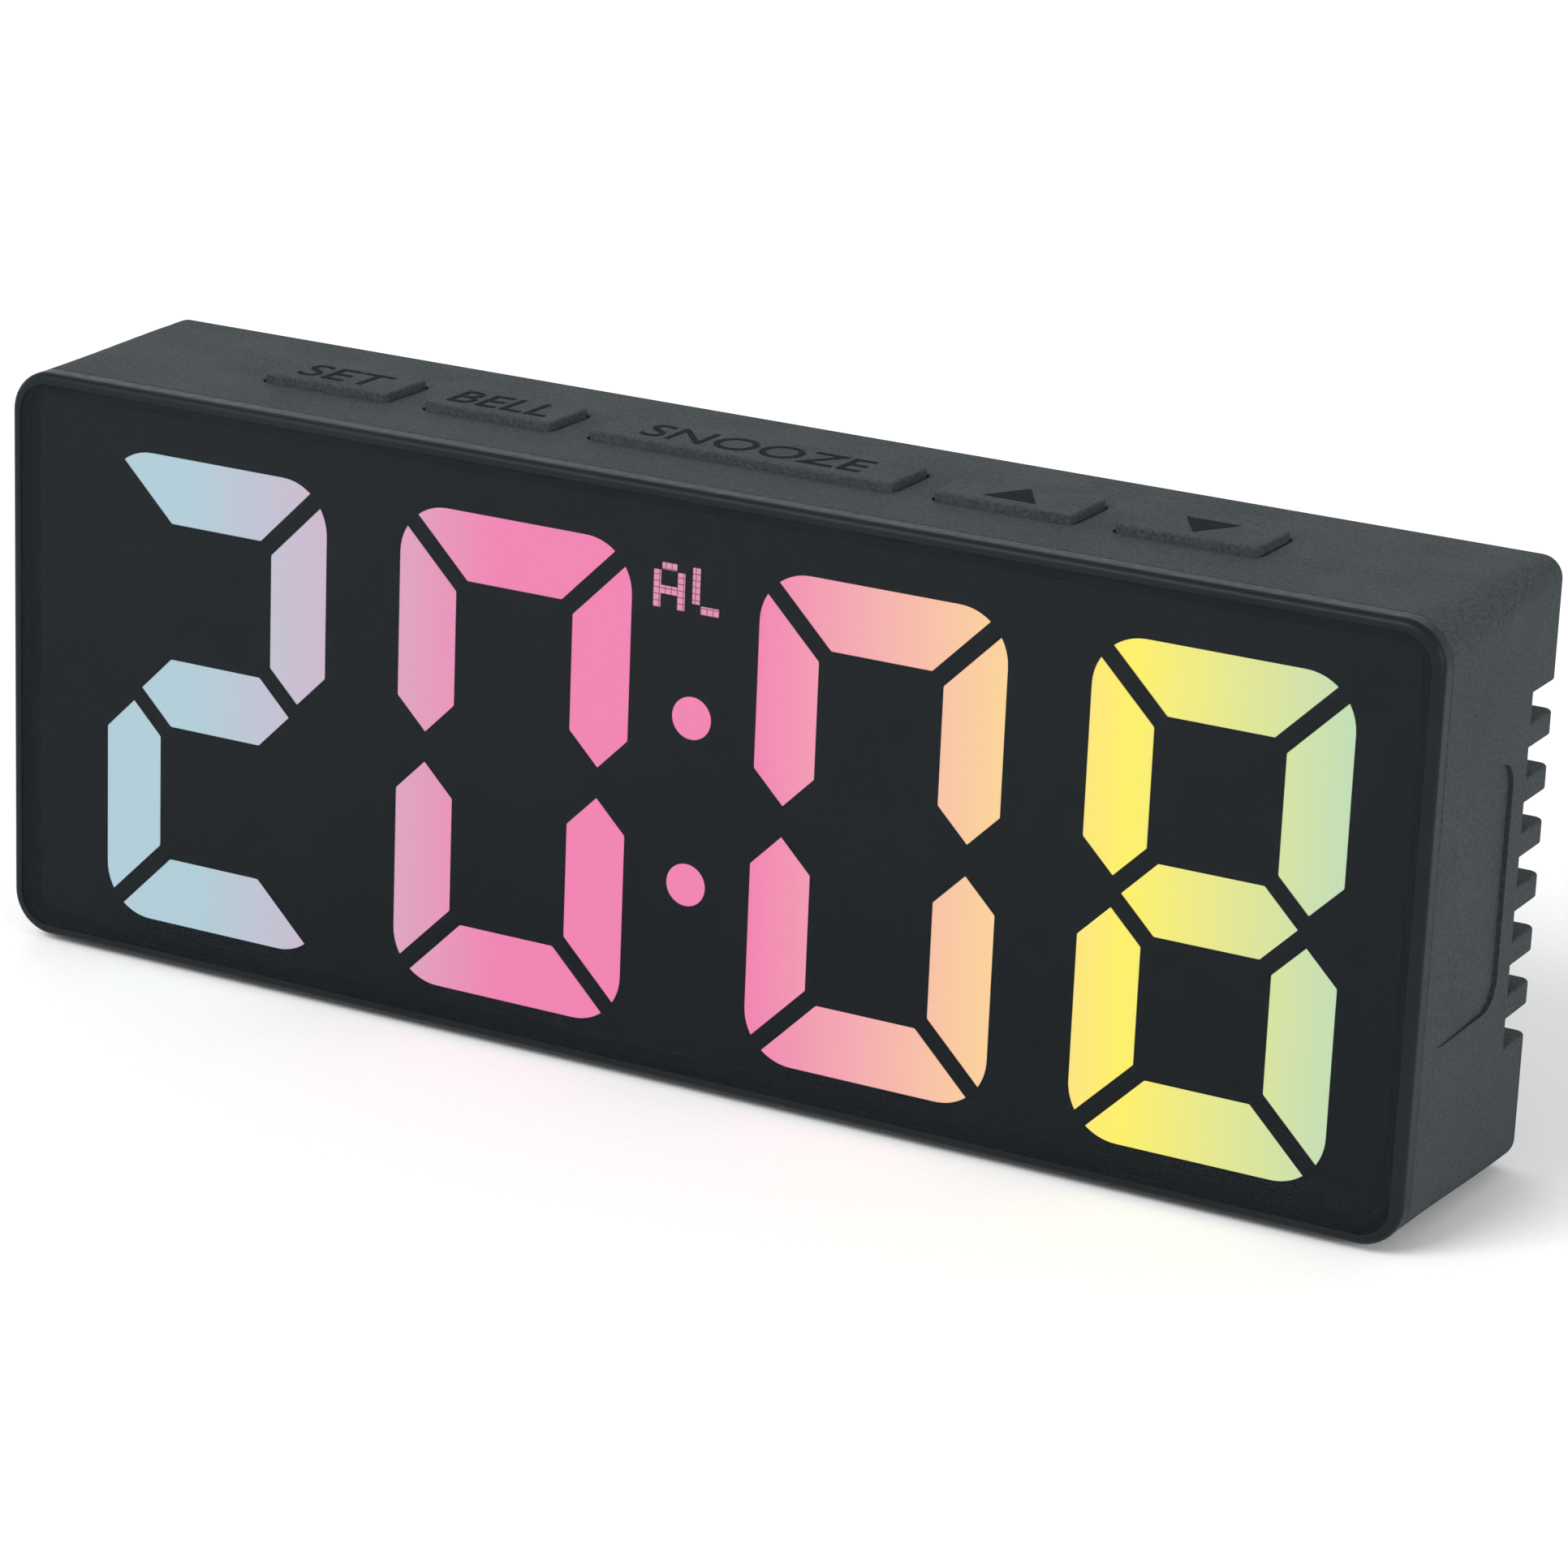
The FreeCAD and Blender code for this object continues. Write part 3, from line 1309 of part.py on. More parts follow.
def check_and_export():
    DOC.recompute()
    faults = [
        f"{thing.Label} {thing.State}"
        for thing in DOC.Objects
        if "Invalid" in thing.State or "Error" in thing.State
    ]
    for node in NODES:
        if node.Shape.isNull() or not node.Shape.isValid() or not node.Shape.Solids:
            faults.append(f"{node.Label} has no valid shape")
    if faults:
        raise RuntimeError("; ".join(faults))
    os.makedirs("parts", exist_ok=True)
    for node in NODES:
        node.Shape.exportStep(f"parts/{node.Label}.step")
        box = node.Shape.BoundBox
        size = " x ".join(f"{value:.2f}" for value in (box.XLength, box.YLength, box.ZLength))
        print(f"{node.Label}: {size} mm, {len(node.Shape.Solids)} solids")


fill_sheet()
make_rear_housing()
make_front_frame()
make_front_lens()
make_feet()
make_display()
make_main_board()
make_segment_leds()
make_controller_chip()
make_small_components()
make_key_board()
make_key_switches()
make_key_ribbon()
make_keys()
make_battery_door()
make_battery_cells()
make_contacts()
make_battery_leads()
make_buzzer()
make_power_socket()
make_screws()
check_and_export()
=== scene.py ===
"""Looks of the digital alarm clock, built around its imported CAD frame.  Metres throughout."""

import math

import bpy
from mathutils import Matrix, Vector


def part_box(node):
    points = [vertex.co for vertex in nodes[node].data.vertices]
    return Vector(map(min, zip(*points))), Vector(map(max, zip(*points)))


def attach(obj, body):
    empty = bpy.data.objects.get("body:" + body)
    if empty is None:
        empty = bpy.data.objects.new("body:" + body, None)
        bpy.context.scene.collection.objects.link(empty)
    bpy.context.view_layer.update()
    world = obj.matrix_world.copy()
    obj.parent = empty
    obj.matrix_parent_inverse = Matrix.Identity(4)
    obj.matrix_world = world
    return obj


MM = 0.001
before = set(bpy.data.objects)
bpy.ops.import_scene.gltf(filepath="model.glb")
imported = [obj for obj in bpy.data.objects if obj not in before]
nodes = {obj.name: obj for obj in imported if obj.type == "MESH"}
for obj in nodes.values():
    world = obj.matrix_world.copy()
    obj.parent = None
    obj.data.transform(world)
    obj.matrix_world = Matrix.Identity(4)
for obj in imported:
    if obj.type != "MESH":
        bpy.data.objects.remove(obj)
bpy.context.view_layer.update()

# The camera stands to the right of the front, a little above the clock.  Its place, turn and
# lens were fitted to the clock's outline in the photo.
CAMERA_PLACE = (0.2513, -0.4612, 0.1977)
CAMERA_TURN = (72.117, -2.260, 28.861)
CAMERA_LENS = 125.25
SENSOR_WIDTH = 36.0
NEAREST_SHOWN = 0.01
FARTHEST_SHOWN = 20.0

HORIZON_GLOW = 1.45
ZENITH_GLOW = 0.45
# rise of a direction, 0 level and 1 straight up, from which on the room glows as at the zenith
ZENITH_RISE = 0.7
# softbox, its place, the place it aims at, its two sides and its power in watts
SOFTBOXES = [
    ("softbox_front", (-0.35, -0.9, 0.8), (0, -0.1, 0), (0.7, 0.5), 14.0),
    ("softbox_right", (1.2, -0.2, 0.35), (0, 0, 0.03), (0.6, 0.5), 7.5),
    ("softbox_backdrop", (-0.5, 1.3, 1.1), (-0.7, 1.6, 0), (1.6, 1.2), 18.0),
]
FLOOR_HALF = 3.0


def srgb(red, green, blue):
    """A linear colour from the 0 to 255 values that a screen shows."""
    def linear(value):
        value = value / 255
        return value / 12.92 if value <= 0.04045 else ((value + 0.055) / 1.055) ** 2.4
    return (linear(red), linear(green), linear(blue), 1.0)


# --- camera, floor and light ---------------------------------------------------------------


def make_camera():
    data = bpy.data.cameras.new("camera")
    data.lens = CAMERA_LENS
    data.sensor_width = SENSOR_WIDTH
    data.clip_start = NEAREST_SHOWN
    data.clip_end = FARTHEST_SHOWN
    camera = bpy.data.objects.new("camera", data)
    camera.location = CAMERA_PLACE
    camera.rotation_euler = [math.radians(angle) for angle in CAMERA_TURN]
    bpy.context.scene.collection.objects.link(camera)
    bpy.context.scene.camera = camera


def make_light(name, place, aim, size, power):
    """A rectangular softbox with white light."""
    data = bpy.data.lights.new(name, "AREA")
    data.shape = "RECTANGLE"
    data.size, data.size_y = size
    data.energy = power
    lamp = bpy.data.objects.new(name, data)
    lamp.location = place
    lamp.rotation_euler = (Vector(aim) - Vector(place)).to_track_quat("-Z", "Y").to_euler()
    bpy.context.scene.collection.objects.link(lamp)


def make_studio():
    """A plain room, brighter at the walls than overhead, with three softboxes."""
    scene = bpy.context.scene
    scene.view_settings.view_transform = "Standard"
    world = bpy.data.worlds.new("studio")
    scene.world = world
    world.use_nodes = True
    tree = world.node_tree
    direction = tree.nodes.new("ShaderNodeTexCoord").outputs["Generated"]
    split = tree.nodes.new("ShaderNodeSeparateXYZ")
    tree.links.new(direction, split.inputs["Vector"])
    fall = tree.nodes.new("ShaderNodeMapRange")
    fall.inputs["From Max"].default_value = ZENITH_RISE
    fall.inputs["To Min"].default_value = HORIZON_GLOW
    fall.inputs["To Max"].default_value = ZENITH_GLOW
    tree.links.new(split.outputs["Z"], fall.inputs["Value"])
    tree.links.new(fall.outputs["Result"], tree.nodes["Background"].inputs["Strength"])
    tree.nodes["Background"].inputs["Color"].default_value = (1, 1, 1, 1)
    for softbox in SOFTBOXES:
        make_light(*softbox)


def make_floor():
    """A square of plain paper, which only the pictures show."""
    mesh = bpy.data.meshes.new("floor")
    half = FLOOR_HALF
    corners = [(-half, -half, 0), (half, -half, 0), (half, half, 0), (-half, half, 0)]
    mesh.from_pydata(corners, [], [(0, 1, 2, 3)])
    floor = bpy.data.objects.new("floor", mesh)
    bpy.context.scene.collection.objects.link(floor)
    look = Look("floor_paper", (0.86, 0.86, 0.86, 1), roughness=0.8, specular=0.1)
    grain = look.noise(900, detail=4)
    look.tint(grain, (0.85, 0.85, 0.85, 1), (0.87, 0.87, 0.87, 1))
    mesh.materials.append(look.material)


# --- material building ---------------------------------------------------------------------


class Look:
    """One procedural material: a Principled shader and the textures that feed it."""

    def __init__(self, name, colour, roughness=0.5, metallic=0.0, specular=0.5, coat=0.0,
                 coat_roughness=0.05):
        self.material = bpy.data.materials.new(name)
        self.material.use_nodes = True
        self.tree = self.material.node_tree
        self.shader = self.tree.nodes["Principled BSDF"]
        self.set("Base Color", colour)
        self.set("Roughness", roughness)
        self.set("Metallic", metallic)
        self.set("Specular IOR Level", specular)
        self.set("Coat Weight", coat)
        self.set("Coat Roughness", coat_roughness)
        self.place = self.add("ShaderNodeTexCoord").outputs["Object"]

    def set(self, socket, value):
        """A value of the shader that is the same all over."""
        self.shader.inputs[socket].default_value = value

    def add(self, kind, inputs=None, **settings):
        """A new node, each of its inputs set to a value or fed by another node's output."""
        item = self.tree.nodes.new(kind)
        for name, value in settings.items():
            setattr(item, name, value)
        for name, value in (inputs or {}).items():
            if isinstance(value, bpy.types.NodeSocket):
                self.tree.links.new(value, item.inputs[name])
            else:
                item.inputs[name].default_value = value
        return item

    def link(self, output, socket):
        """Feeds a socket of the shader from a node's output."""
        self.tree.links.new(output, self.shader.inputs[socket])

    def noise(self, scale, detail=3.0, roughness=0.55, stretch=None):
        place = self.place
        if stretch:
            place = self.add("ShaderNodeMapping", {"Vector": place, "Scale": stretch}).outputs[0]
        inputs = {"Vector": place, "Scale": scale, "Detail": detail, "Roughness": roughness}
        return self.add("ShaderNodeTexNoise", inputs).outputs["Fac"]

    def cells(self, scale):
        inputs = {"Vector": self.place, "Scale": scale}
        return self.add("ShaderNodeTexVoronoi", inputs).outputs["Distance"]

    def spread(self, value, low, high, start=0.3, end=0.7):
        """A texture value stretched from start..end to low..high."""
        inputs = {"Value": value, "From Min": start, "From Max": end, "To Min": low, "To Max": high}
        return self.add("ShaderNodeMapRange", inputs).outputs["Result"]

    def blend(self, factor, first, second):
        """A colour between two others, each a value or a node's output."""
        mix = self.add("ShaderNodeMix", data_type="RGBA")
        colour_inputs = [item for item in mix.inputs if item.type == "RGBA"]
        self.tree.links.new(factor, mix.inputs["Factor"])
        for socket, colour in zip(colour_inputs, (first, second)):
            if isinstance(colour, bpy.types.NodeSocket):
                self.tree.links.new(colour, socket)
            else:
                socket.default_value = colour
        return next(item for item in mix.outputs if item.type == "RGBA")

    def tint(self, value, first, second):
        """Base colour that wanders between two colours with a texture."""
        self.link(self.blend(self.spread(value, 0, 1), first, second), "Base Color")

    def wear(self, value, low, high):
        """Roughness that wanders between two values with a texture."""
        self.link(self.spread(value, low, high), "Roughness")

    def bumps(self, *layers):
        """Stacked bump textures, each a value with its height in metres."""
        normal = None
        for value, height in layers:
            inputs = {"Height": value, "Strength": 1.0, "Distance": height}
            if normal:
                inputs["Normal"] = normal
            normal = self.add("ShaderNodeBump", inputs).outputs["Normal"]
        self.link(normal, "Normal")


def wear(node, material):
    """Gives a CAD node one material."""
    data = nodes[node].data
    data.materials.clear()
    data.materials.append(material)


# how much of the mottling of grained plastic is fine speckle, and how much wide patches
SPECKLE_SHARE = 0.9
PATCH_SHARE = 0.1
# scale and height of the cells in grained plastic, as parts of those of its grain
CELL_SCALE = 0.8
CELL_HEIGHT = 0.5


def grained_plastic(name, dark, light, grain=2700, height=0.07 * MM, specular=0.04):
    """Moulded plastic with a spark-eroded grain, speckled where the grain is proud."""
    look = Look(name, dark, specular=specular)
    speckle = look.noise(grain, detail=3)
    patches = look.noise(26, detail=4)
    mottle = look.add(
        "ShaderNodeMath", {0: speckle, 1: SPECKLE_SHARE}, operation="MULTIPLY"
    ).outputs[0]
    mottle = look.add(
        "ShaderNodeMath", {0: patches, 1: PATCH_SHARE, 2: mottle}, operation="MULTIPLY_ADD"
    ).outputs[0]
    look.tint(mottle, dark, light)
    look.wear(look.noise(140, detail=5), 0.6, 0.72)
    look.bumps((speckle, height), (look.cells(grain * CELL_SCALE), height * CELL_HEIGHT))
    return look.material


def polished_plastic(name, dark, light, specular=0.5, coat=0.6, roughness=(0.12, 0.22)):
    """Gloss plastic with hair scratches, which only the light's edge shows."""
    look = Look(name, dark, specular=specular, coat=coat, coat_roughness=0.04)
    look.tint(look.noise(40, detail=3), dark, light)
    scratches = look.noise(900, detail=2, stretch=(1.0, 1.0, 14.0))
    look.wear(scratches, *roughness)
    look.bumps((look.noise(220, detail=2), 0.008 * MM))
    return look.material


def sheet_metal(name, dark, light, roughness, scale=700):
    """Rolled or turned metal with fine lines along X."""
    look = Look(name, light, metallic=1.0)
    look.tint(look.noise(scale, detail=3, stretch=(1, 8, 8)), dark, light)
    look.wear(look.noise(scale * 2, detail=4), *roughness)
    look.bumps((look.noise(scale * 3, detail=2, stretch=(1, 10, 10)), 0.01 * MM))
    return look.material


def soft_rubber(name):
    look = Look(name, (0.02, 0.02, 0.02, 1), specular=0.3)
    look.tint(look.noise(300, detail=5), (0.012, 0.012, 0.012, 1), (0.03, 0.03, 0.03, 1))
    look.wear(look.noise(700), 0.75, 0.92)
    look.bumps((look.noise(2600, detail=3), 0.04 * MM))
    return look.material


def circuit_board(name):
    """Green solder mask over a faint net of copper tracks."""
    look = Look(name, (0.01, 0.09, 0.035, 1), specular=0.5, coat=0.3, coat_roughness=0.2)
    tracks = look.add(
        "ShaderNodeTexBrick",
        {"Vector": look.place, "Scale": 260.0, "Mortar Size": 0.035, "Mortar Smooth": 0.1},
    ).outputs["Fac"]
    mask = look.blend(tracks, (0.008, 0.085, 0.03, 1), (0.02, 0.16, 0.05, 1))
    look.link(mask, "Base Color")
    look.wear(look.noise(800), 0.28, 0.42)
    look.bumps((tracks, 0.03 * MM), (look.noise(1800), 0.01 * MM))
    return look.material


def flat_cable(name):
    """Grey ribbon cable, ridged between its cores."""
    look = Look(name, (0.35, 0.35, 0.36, 1), specular=0.4)
    wave = look.add(
        "ShaderNodeTexWave",
        {"Vector": look.place, "Scale": 250.0, "Distortion": 0.0},
        bands_direction="X",
    ).outputs["Fac"]
    look.link(look.blend(wave, (0.2, 0.2, 0.21, 1), (0.42, 0.42, 0.43, 1)), "Base Color")
    look.wear(look.noise(900), 0.4, 0.55)
    look.bumps((wave, 0.12 * MM))
    return look.material


# --- the display ---------------------------------------------------------------------------

LENS_ALPHA = 0.4
# share of the light that gets through both faces of the lens
LENS_PASS = (1 - LENS_ALPHA) ** 2
# what the lens shows over black, and the colour that the sign shows through it
LENS_SHINE = (36, 41, 44)
SIGN_COLOUR = (226, 150, 180)
# dots of the sign across and up, the gap between them, and the gap's brightness beside a dot's
SIGN_COLUMNS = 11
SIGN_ROWS = 7
SIGN_GAP = 0.06 * MM
SIGN_DIM = 0.35

# place along the case from its middle, and the colour that was read there in the photo
GRADIENT = [
    (-57 * MM, (178, 206, 217)),  # pale blue
    (-42 * MM, (204, 187, 206)),  # lilac
    (-20 * MM, (241, 134, 180)),  # pink, as far as the next
    (9.5 * MM, (241, 135, 180)),
    (21.5 * MM, (244, 173, 178)),  # peach
    (33.5 * MM, (250, 205, 161)),  # apricot
    (50 * MM, (254, 240, 108)),  # yellow
    (63.5 * MM, (221, 229, 156)),  # lime
    (72 * MM, (196, 222, 182)),  # pale green
]
# how far the colours shift to the left for each metre up
GRADIENT_TILT = 0.03


def smoke_lens():
    """Tinted acrylic: a mirror-flat skin that lets part of the light through each face."""
    look = Look("smoke_lens", (0.001, 0.004, 0.0065, 1), roughness=0.06, specular=0.31)
    look.tint(look.noise(18, detail=2), (0.0005, 0.0035, 0.006, 1), (0.0015, 0.0045, 0.007, 1))
    look.wear(look.noise(120, detail=4), 0.04, 0.09)
    look.bumps((look.noise(60, detail=1), 0.004 * MM))
    look.set("Alpha", LENS_ALPHA)
    return look.material


def display_black():
    """Dead matte black behind the lens."""
    look = Look("display_black", (0.004, 0.005, 0.006, 1), specular=0.02)
    look.tint(look.noise(500, detail=4), (0.003, 0.004, 0.005, 1), (0.006, 0.007, 0.008, 1))
    look.wear(look.noise(900), 0.55, 0.75)
    look.bumps((look.noise(3000), 0.002 * MM))
    return look.material


def behind_lens(shown):
    """The glow that shows as a colour once the lens has dimmed it and added its own shine."""
    pairs = zip(srgb(*shown)[:3], srgb(*LENS_SHINE)[:3])
    return (*[max(glow - shine, 0) / LENS_PASS for glow, shine in pairs], 1.0)


def glowing_resin(name):
    """Dark clear resin, for its caller to give a glow."""
    look = Look(name, (0.02, 0.02, 0.02, 1), specular=0.05)
    look.wear(look.noise(700), 0.45, 0.6)
    look.bumps((look.noise(2400), 0.01 * MM))
    return look


def lit_segment():
    """Glowing resin whose colour runs across the whole display."""
    look = glowing_resin("lit_segment")
    split = look.add("ShaderNodeSeparateXYZ", {"Vector": look.place})
    slant = look.add(
        "ShaderNodeMath",
        {0: split.outputs["Z"], 1: GRADIENT_TILT, 2: split.outputs["X"]},
        operation="MULTIPLY_ADD",
    ).outputs[0]
    first = GRADIENT[0][0]
    last = GRADIENT[-1][0]
    along = look.spread(slant, 0, 1, first, last)
    ramp = look.add("ShaderNodeValToRGB", {"Fac": along})
    stops = ramp.color_ramp.elements
    while len(stops) < len(GRADIENT):
        stops.new(0.5)
    for stop, (place, _) in zip(stops, GRADIENT):
        stop.position = (place - first) / (last - first)
    for stop, (_, shown) in zip(stops, GRADIENT):
        stop.color = behind_lens(shown)
    look.link(ramp.outputs["Color"], "Emission Color")
    look.set("Emission Strength", 1.0)
    return look.material


def lit_sign():
    """Glowing resin split into the rows of small dots that the sign is made of."""
    look = glowing_resin("lit_sign")
    low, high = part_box("alarm_sign")
    split = look.add("ShaderNodeSeparateXYZ", {"Vector": look.place})
    across = look.add("ShaderNodeMath", {0: split.outputs["X"], 1: low.x}, operation="SUBTRACT")
    up = look.add("ShaderNodeMath", {0: split.outputs["Z"], 1: low.z}, operation="SUBTRACT")
    place = look.add("ShaderNodeCombineXYZ", {"X": across.outputs[0], "Y": up.outputs[0]})
    glow = behind_lens(SIGN_COLOUR)
    dots = look.add(
        "ShaderNodeTexBrick",
        {
            "Vector": place.outputs[0],
            "Color1": glow,
            "Color2": glow,
            "Mortar": tuple(SIGN_DIM * value for value in glow[:3]) + (1.0,),
            "Scale": 1.0,
            "Brick Width": (high.x - low.x) / SIGN_COLUMNS,
            "Row Height": (high.z - low.z) / SIGN_ROWS,
            "Mortar Size": SIGN_GAP,
            "Mortar Smooth": 0.1,
        },
        offset=0.0,
    )
    look.link(dots.outputs["Color"], "Emission Color")
    look.set("Emission Strength", 1.0)
    return look.material


def dark_segment():
    """The same resin with no light behind it."""
    look = Look("dark_segment", (0.006, 0.007, 0.008, 1), specular=0.05)
    look.tint(look.noise(500), (0.005, 0.006, 0.007, 1), (0.007, 0.008, 0.009, 1))
    look.wear(look.noise(900), 0.5, 0.7)
    look.bumps((look.noise(2400), 0.01 * MM))
    return look.material


# Unlit segments of each figure, for a display that reads 20:08.
UNLIT = {
    "hours_tens_segments": ("upper_left", "lower_right"),
    "hours_units_segments": ("middle",),
    "minutes_tens_segments": ("middle",),
    "minutes_units_segments": (),
}
# widths of a figure's upright, top and bottom, and middle segments
UPRIGHT_BAR = 6.7 * MM
LEVEL_BAR = 7.1 * MM
MIDDLE_BAR = 7.3 * MM
# a point this far past the middle segment's edge still belongs to it
EDGE_SLACK = 0.001 * MM


def segment_at(place, low, high):
    """Name of the segment that a point of a figure belongs to."""
    middle = (low + high) / 2
    half = (high - low) / 2
    across = place.x - middle.x
    up = place.z - middle.z
    past_side = abs(across) - (half.x - UPRIGHT_BAR)
    if abs(up) < MIDDLE_BAR / 2 + EDGE_SLACK and past_side < MIDDLE_BAR / 2 - abs(up):
        return "middle"
    height = "upper" if up > 0 else "lower"
    if past_side > abs(up) - (half.z - LEVEL_BAR):
        return f"{height}_{'right' if across > 0 else 'left'}"
    return height


def light_display():
    """Lights the segments that the time needs, the colon and the sign."""
    lit = lit_segment()
    dark = dark_segment()
    for name, unlit in UNLIT.items():
        figure = nodes[name]
        low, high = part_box(name)
        wear(name, lit)
        figure.data.materials.append(dark)
        for face in figure.data.polygons:
            face.material_index = 1 if segment_at(face.center, low, high) in unlit else 0
    wear("colon_dots", lit)
    wear("alarm_sign", lit_sign())


# --- clothing the CAD nodes ----------------------------------------------------------------


# where a cell's sleeve turns to bare metal, and its dark part to the light band, from the middle
SLEEVE_END = (20.8 * MM, 21.0 * MM)
BAND_EDGE = (6.8 * MM, 7.0 * MM)


def battery_sleeve():
    """Plain two-tone sleeve with bare metal at both ends of each cell."""
    look = Look("battery_sleeve", (0.05, 0.1, 0.12, 1), roughness=0.3, coat=0.4)
    split = look.add("ShaderNodeSeparateXYZ", {"Vector": look.place})
    ends = look.add("ShaderNodeMath", {0: split.outputs["X"]}, operation="ABSOLUTE").outputs[0]
    bare = look.spread(ends, 0, 1, *SLEEVE_END)
    band = look.spread(split.outputs["X"], 0, 1, *BAND_EDGE)
    sleeve = look.blend(band, (0.02, 0.05, 0.07, 1), (0.35, 0.2, 0.06, 1))
    look.link(look.blend(bare, sleeve, (0.6, 0.6, 0.6, 1)), "Base Color")
    look.link(bare, "Metallic")
    look.wear(look.noise(500), 0.22, 0.36)
    look.bumps((look.noise(300), 0.01 * MM))
    return look.material


CASE_DARK = (0.022, 0.028, 0.031, 1)
CASE_LIGHT = (0.048, 0.056, 0.060, 1)
# least and greatest depth of a face in the finger hollows of the case's sides
HOLLOW_DEPTHS = (0.05 * MM, 0.5 * MM)
# a face looks sideways if its normal's X, left or right, is above this
SIDEWAYS = 0.999


def smooth_hollows():
    """Smoother plastic on the slanted floors of the two finger hollows."""
    smooth = grained_plastic("hollow_plastic", CASE_DARK, CASE_LIGHT, height=0.02 * MM)
    housing = nodes["rear_housing"].data
    housing.materials.append(smooth)
    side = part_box("rear_housing")[1].x
    for face in housing.polygons:
        depth = side - abs(face.center.x)
        if abs(face.normal.x) > SIDEWAYS and HOLLOW_DEPTHS[0] < depth < HOLLOW_DEPTHS[1]:
            face.material_index = 1


def dress_nodes():
    """Gives every CAD node outside the display's lit parts its material."""
    case = grained_plastic("case_plastic", CASE_DARK, CASE_LIGHT)
    keys = grained_plastic("key_plastic", CASE_DARK, CASE_LIGHT, grain=3000, height=0.025 * MM)
    chips = grained_plastic("chip_epoxy", (0.01, 0.01, 0.01, 1), (0.018, 0.018, 0.018, 1))
    white = grained_plastic("white_plastic", (0.7, 0.7, 0.68, 1), (0.78, 0.78, 0.76, 1))
    ivory = grained_plastic("plunger_plastic", (0.5, 0.47, 0.38, 1), (0.6, 0.56, 0.46, 1))
    gloss = polished_plastic("frame_gloss", (0.008, 0.011, 0.013, 1), (0.011, 0.014, 0.016, 1),
                             specular=0.06, coat=0.0, roughness=(0.3, 0.42))
    tin = sheet_metal("tin_plate", (0.45, 0.45, 0.44, 1), (0.7, 0.7, 0.69, 1), (0.2, 0.35))
    zinc = sheet_metal("zinc_screw", (0.3, 0.3, 0.3, 1), (0.5, 0.5, 0.49, 1), (0.3, 0.45))
    brass = sheet_metal("buzzer_brass", (0.5, 0.36, 0.12, 1), (0.72, 0.54, 0.22, 1), (0.25, 0.4))
    board = circuit_board("circuit_board")
    film = grained_plastic("colour_film", (0.6, 0.35, 0.4, 1), (0.7, 0.5, 0.45, 1))
    diode = polished_plastic("diode_lens", (0.6, 0.58, 0.4, 1), (0.75, 0.73, 0.55, 1))
    sleeve = polished_plastic("capacitor_sleeve", (0.01, 0.012, 0.03, 1), (0.02, 0.022, 0.05, 1))
    lead = polished_plastic("lead_red", (0.3, 0.01, 0.01, 1), (0.4, 0.02, 0.02, 1))
    clothes = {
        case: ["rear_housing", "battery_door", "socket_supports"],
        keys: [name for name in nodes if name.startswith("button_")],
        ivory: [name for name in nodes if name.startswith("plunger_")],
        chips: ["controller_chip", "chip_resistors", "key_switches", "buzzer_case",
                "power_socket_tongue"],
        white: ["light_reflector", "ribbon_connectors"],
        gloss: ["front_frame"],
        smoke_lens(): ["front_lens"],
        display_black(): ["display_mask"],
        soft_rubber("foot_rubber"): ["rubber_feet"],
        tin: ["clock_crystal", "contact_plates", "contact_springs", "power_socket_shell"],
        zinc: ["board_screws", "key_board_screws"],
        brass: ["buzzer_disc"],
        board: ["main_board", "key_board", "socket_board"],
        film: ["gradient_film"],
        diode: ["segment_leds"],
        sleeve: ["filter_capacitors"],
        lead: ["battery_leads"],
        flat_cable("key_ribbon_grey"): ["key_ribbon"],
        battery_sleeve(): ["battery_cells"],
    }
    for material, names in clothes.items():
        for name in names:
            wear(name, material)
    smooth_hollows()


# --- marks on the keys ---------------------------------------------------------------------

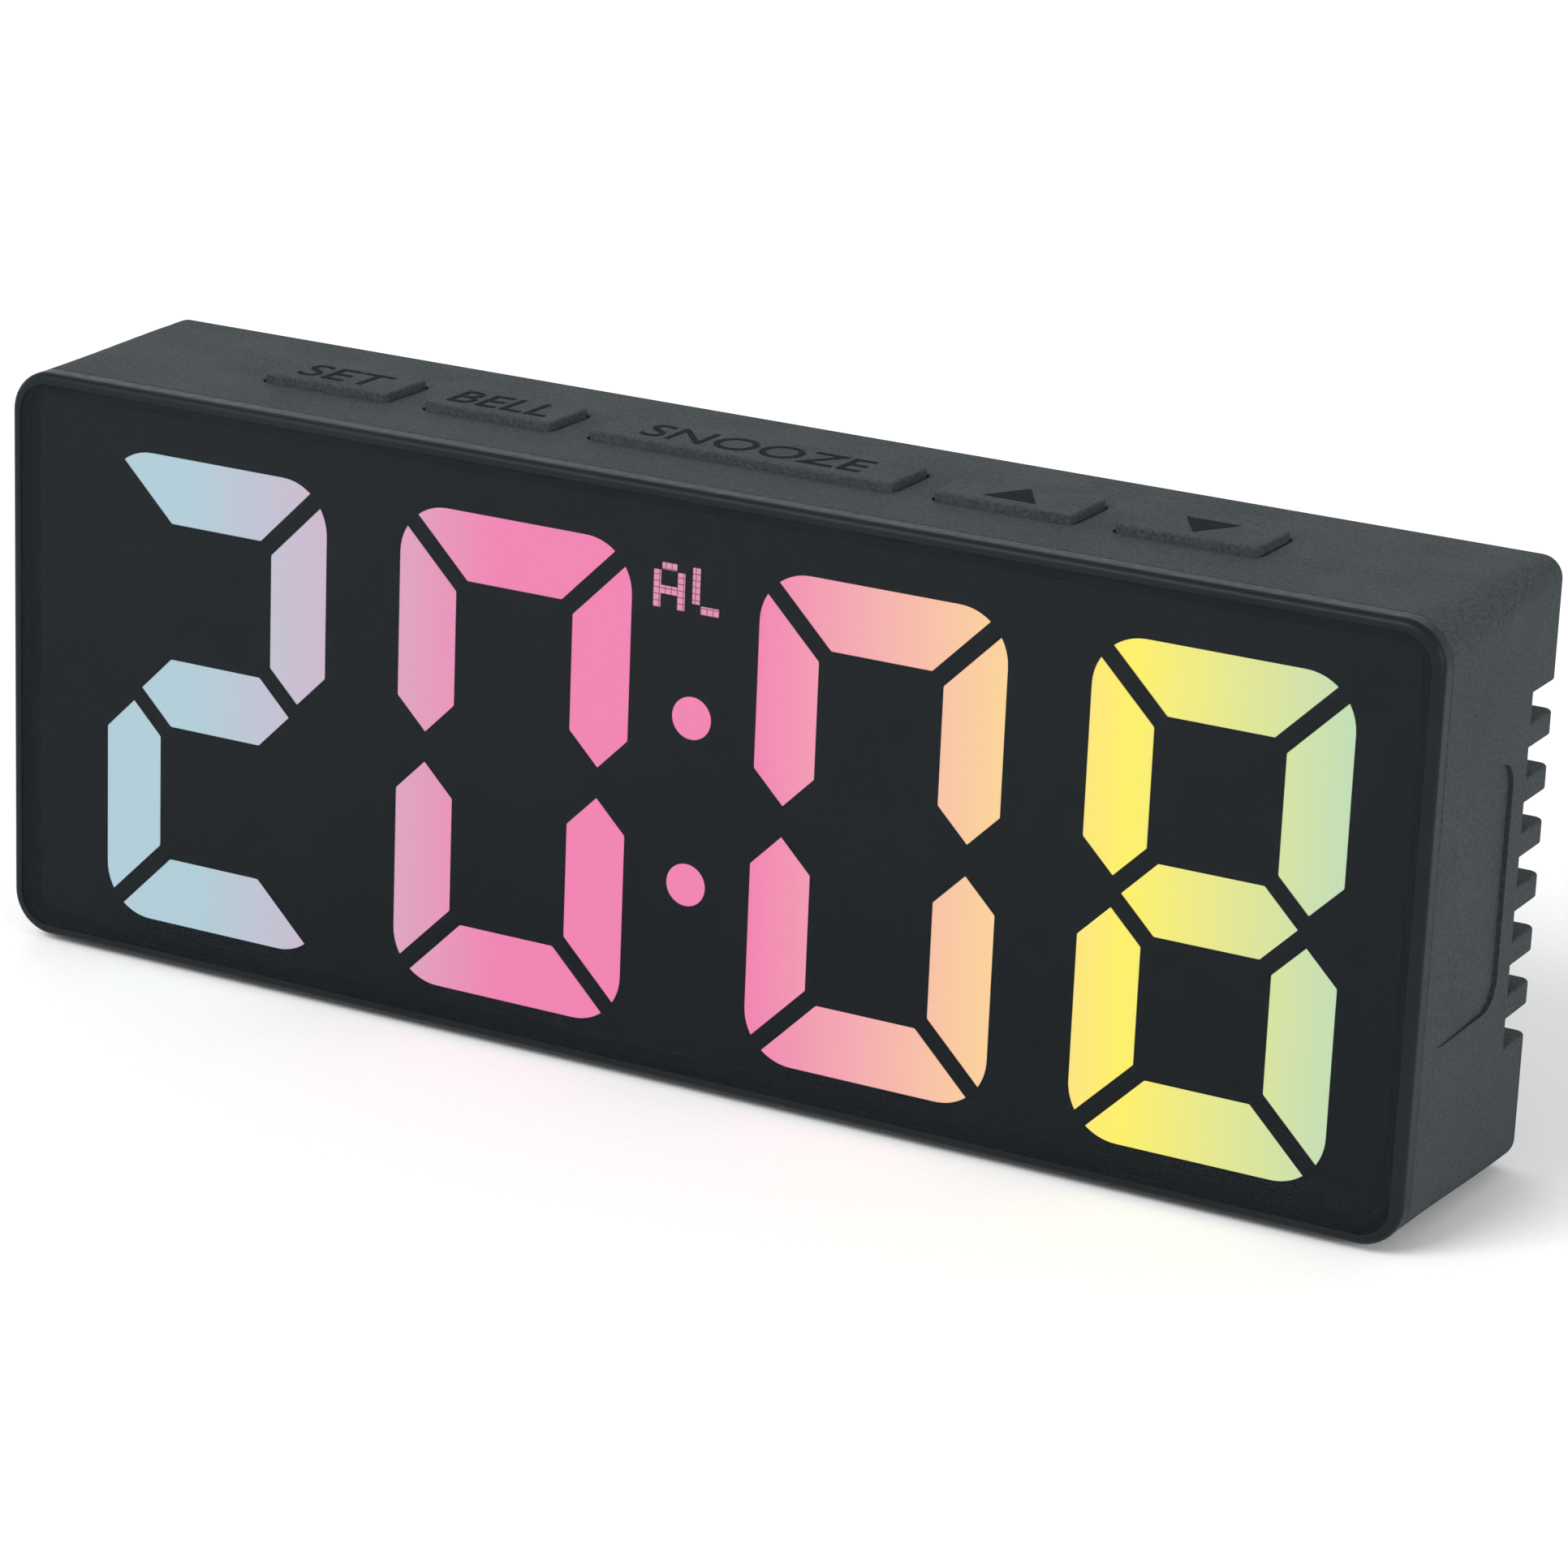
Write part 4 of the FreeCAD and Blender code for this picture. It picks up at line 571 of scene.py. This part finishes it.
# key, the mark on it, and the mark's width
KEY_MARKS = [
    ("mode", "SET", 9.6 * MM),
    ("alarm", "BELL", 11.6 * MM),
    ("snooze", "SNOOZE", 25.0 * MM),
    ("up", "\u25b2", 5.6 * MM),
    ("down", "\u25bc", 5.6 * MM),
]
MARK_HEIGHT = 4.7 * MM
# how far a mark stands out of its key, and as far again it reaches into it
MARK_RISE = 0.05 * MM
# steps along each curve of a letter, and half its thickness before it is stretched to size
LETTER_STEPS = 4
LETTER_DEPTH = 0.05


def make_key_mark(key, mark, width, painted_shade):
    """A mark in thin relief on a key top."""
    curve = bpy.data.curves.new("mark", "FONT")
    curve.body = mark
    curve.extrude = LETTER_DEPTH
    curve.resolution_u = LETTER_STEPS
    shape = bpy.data.objects.new("mark", curve)
    bpy.context.scene.collection.objects.link(shape)
    graph = bpy.context.evaluated_depsgraph_get()
    mesh = bpy.data.meshes.new_from_object(shape.evaluated_get(graph))
    bpy.data.objects.remove(shape)
    low = Vector([min(point.co[axis] for point in mesh.vertices) for axis in range(3)])
    high = Vector([max(point.co[axis] for point in mesh.vertices) for axis in range(3)])
    size = high - low
    cap_low, cap_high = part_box("button_" + key)
    place = (cap_low + cap_high) / 2
    stretch = (width / size.x, MARK_HEIGHT / size.y, 2 * MARK_RISE / size.z)
    mesh.transform(Matrix.Translation(-(low + high) / 2))
    mesh.transform(Matrix.Diagonal((*stretch, 1)))
    mesh.transform(Matrix.Translation((place.x, place.y, cap_high.z)))
    # the mark's dark colour is painted shade, standing in for the shadow in moulded letters
    mesh.materials.append(painted_shade)
    piece = bpy.data.objects.new(f"mark_{key}", mesh)
    bpy.context.scene.collection.objects.link(piece)
    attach(piece, key + "_key")


def mark_keys():
    """Gives every key's mark the same dark colour: painted shade, for the shadow in letters moulded
    in the key's plastic.
    """
    # dark colour of the marks: painted shade, for the shadow in letters moulded in the key's own
    # plastic
    look = Look("key_mark_painted_shade", (0.005, 0.006, 0.007, 1), specular=0.02)
    look.tint(look.noise(900), (0.004, 0.005, 0.006, 1), (0.008, 0.009, 0.010, 1))
    look.wear(look.noise(1500), 0.6, 0.75)
    look.bumps((look.noise(4000), 0.02 * MM))
    for key, mark, width in KEY_MARKS:
        make_key_mark(key, mark, width, look.material)


make_camera()
make_studio()
make_floor()
dress_nodes()
light_display()
mark_keys()
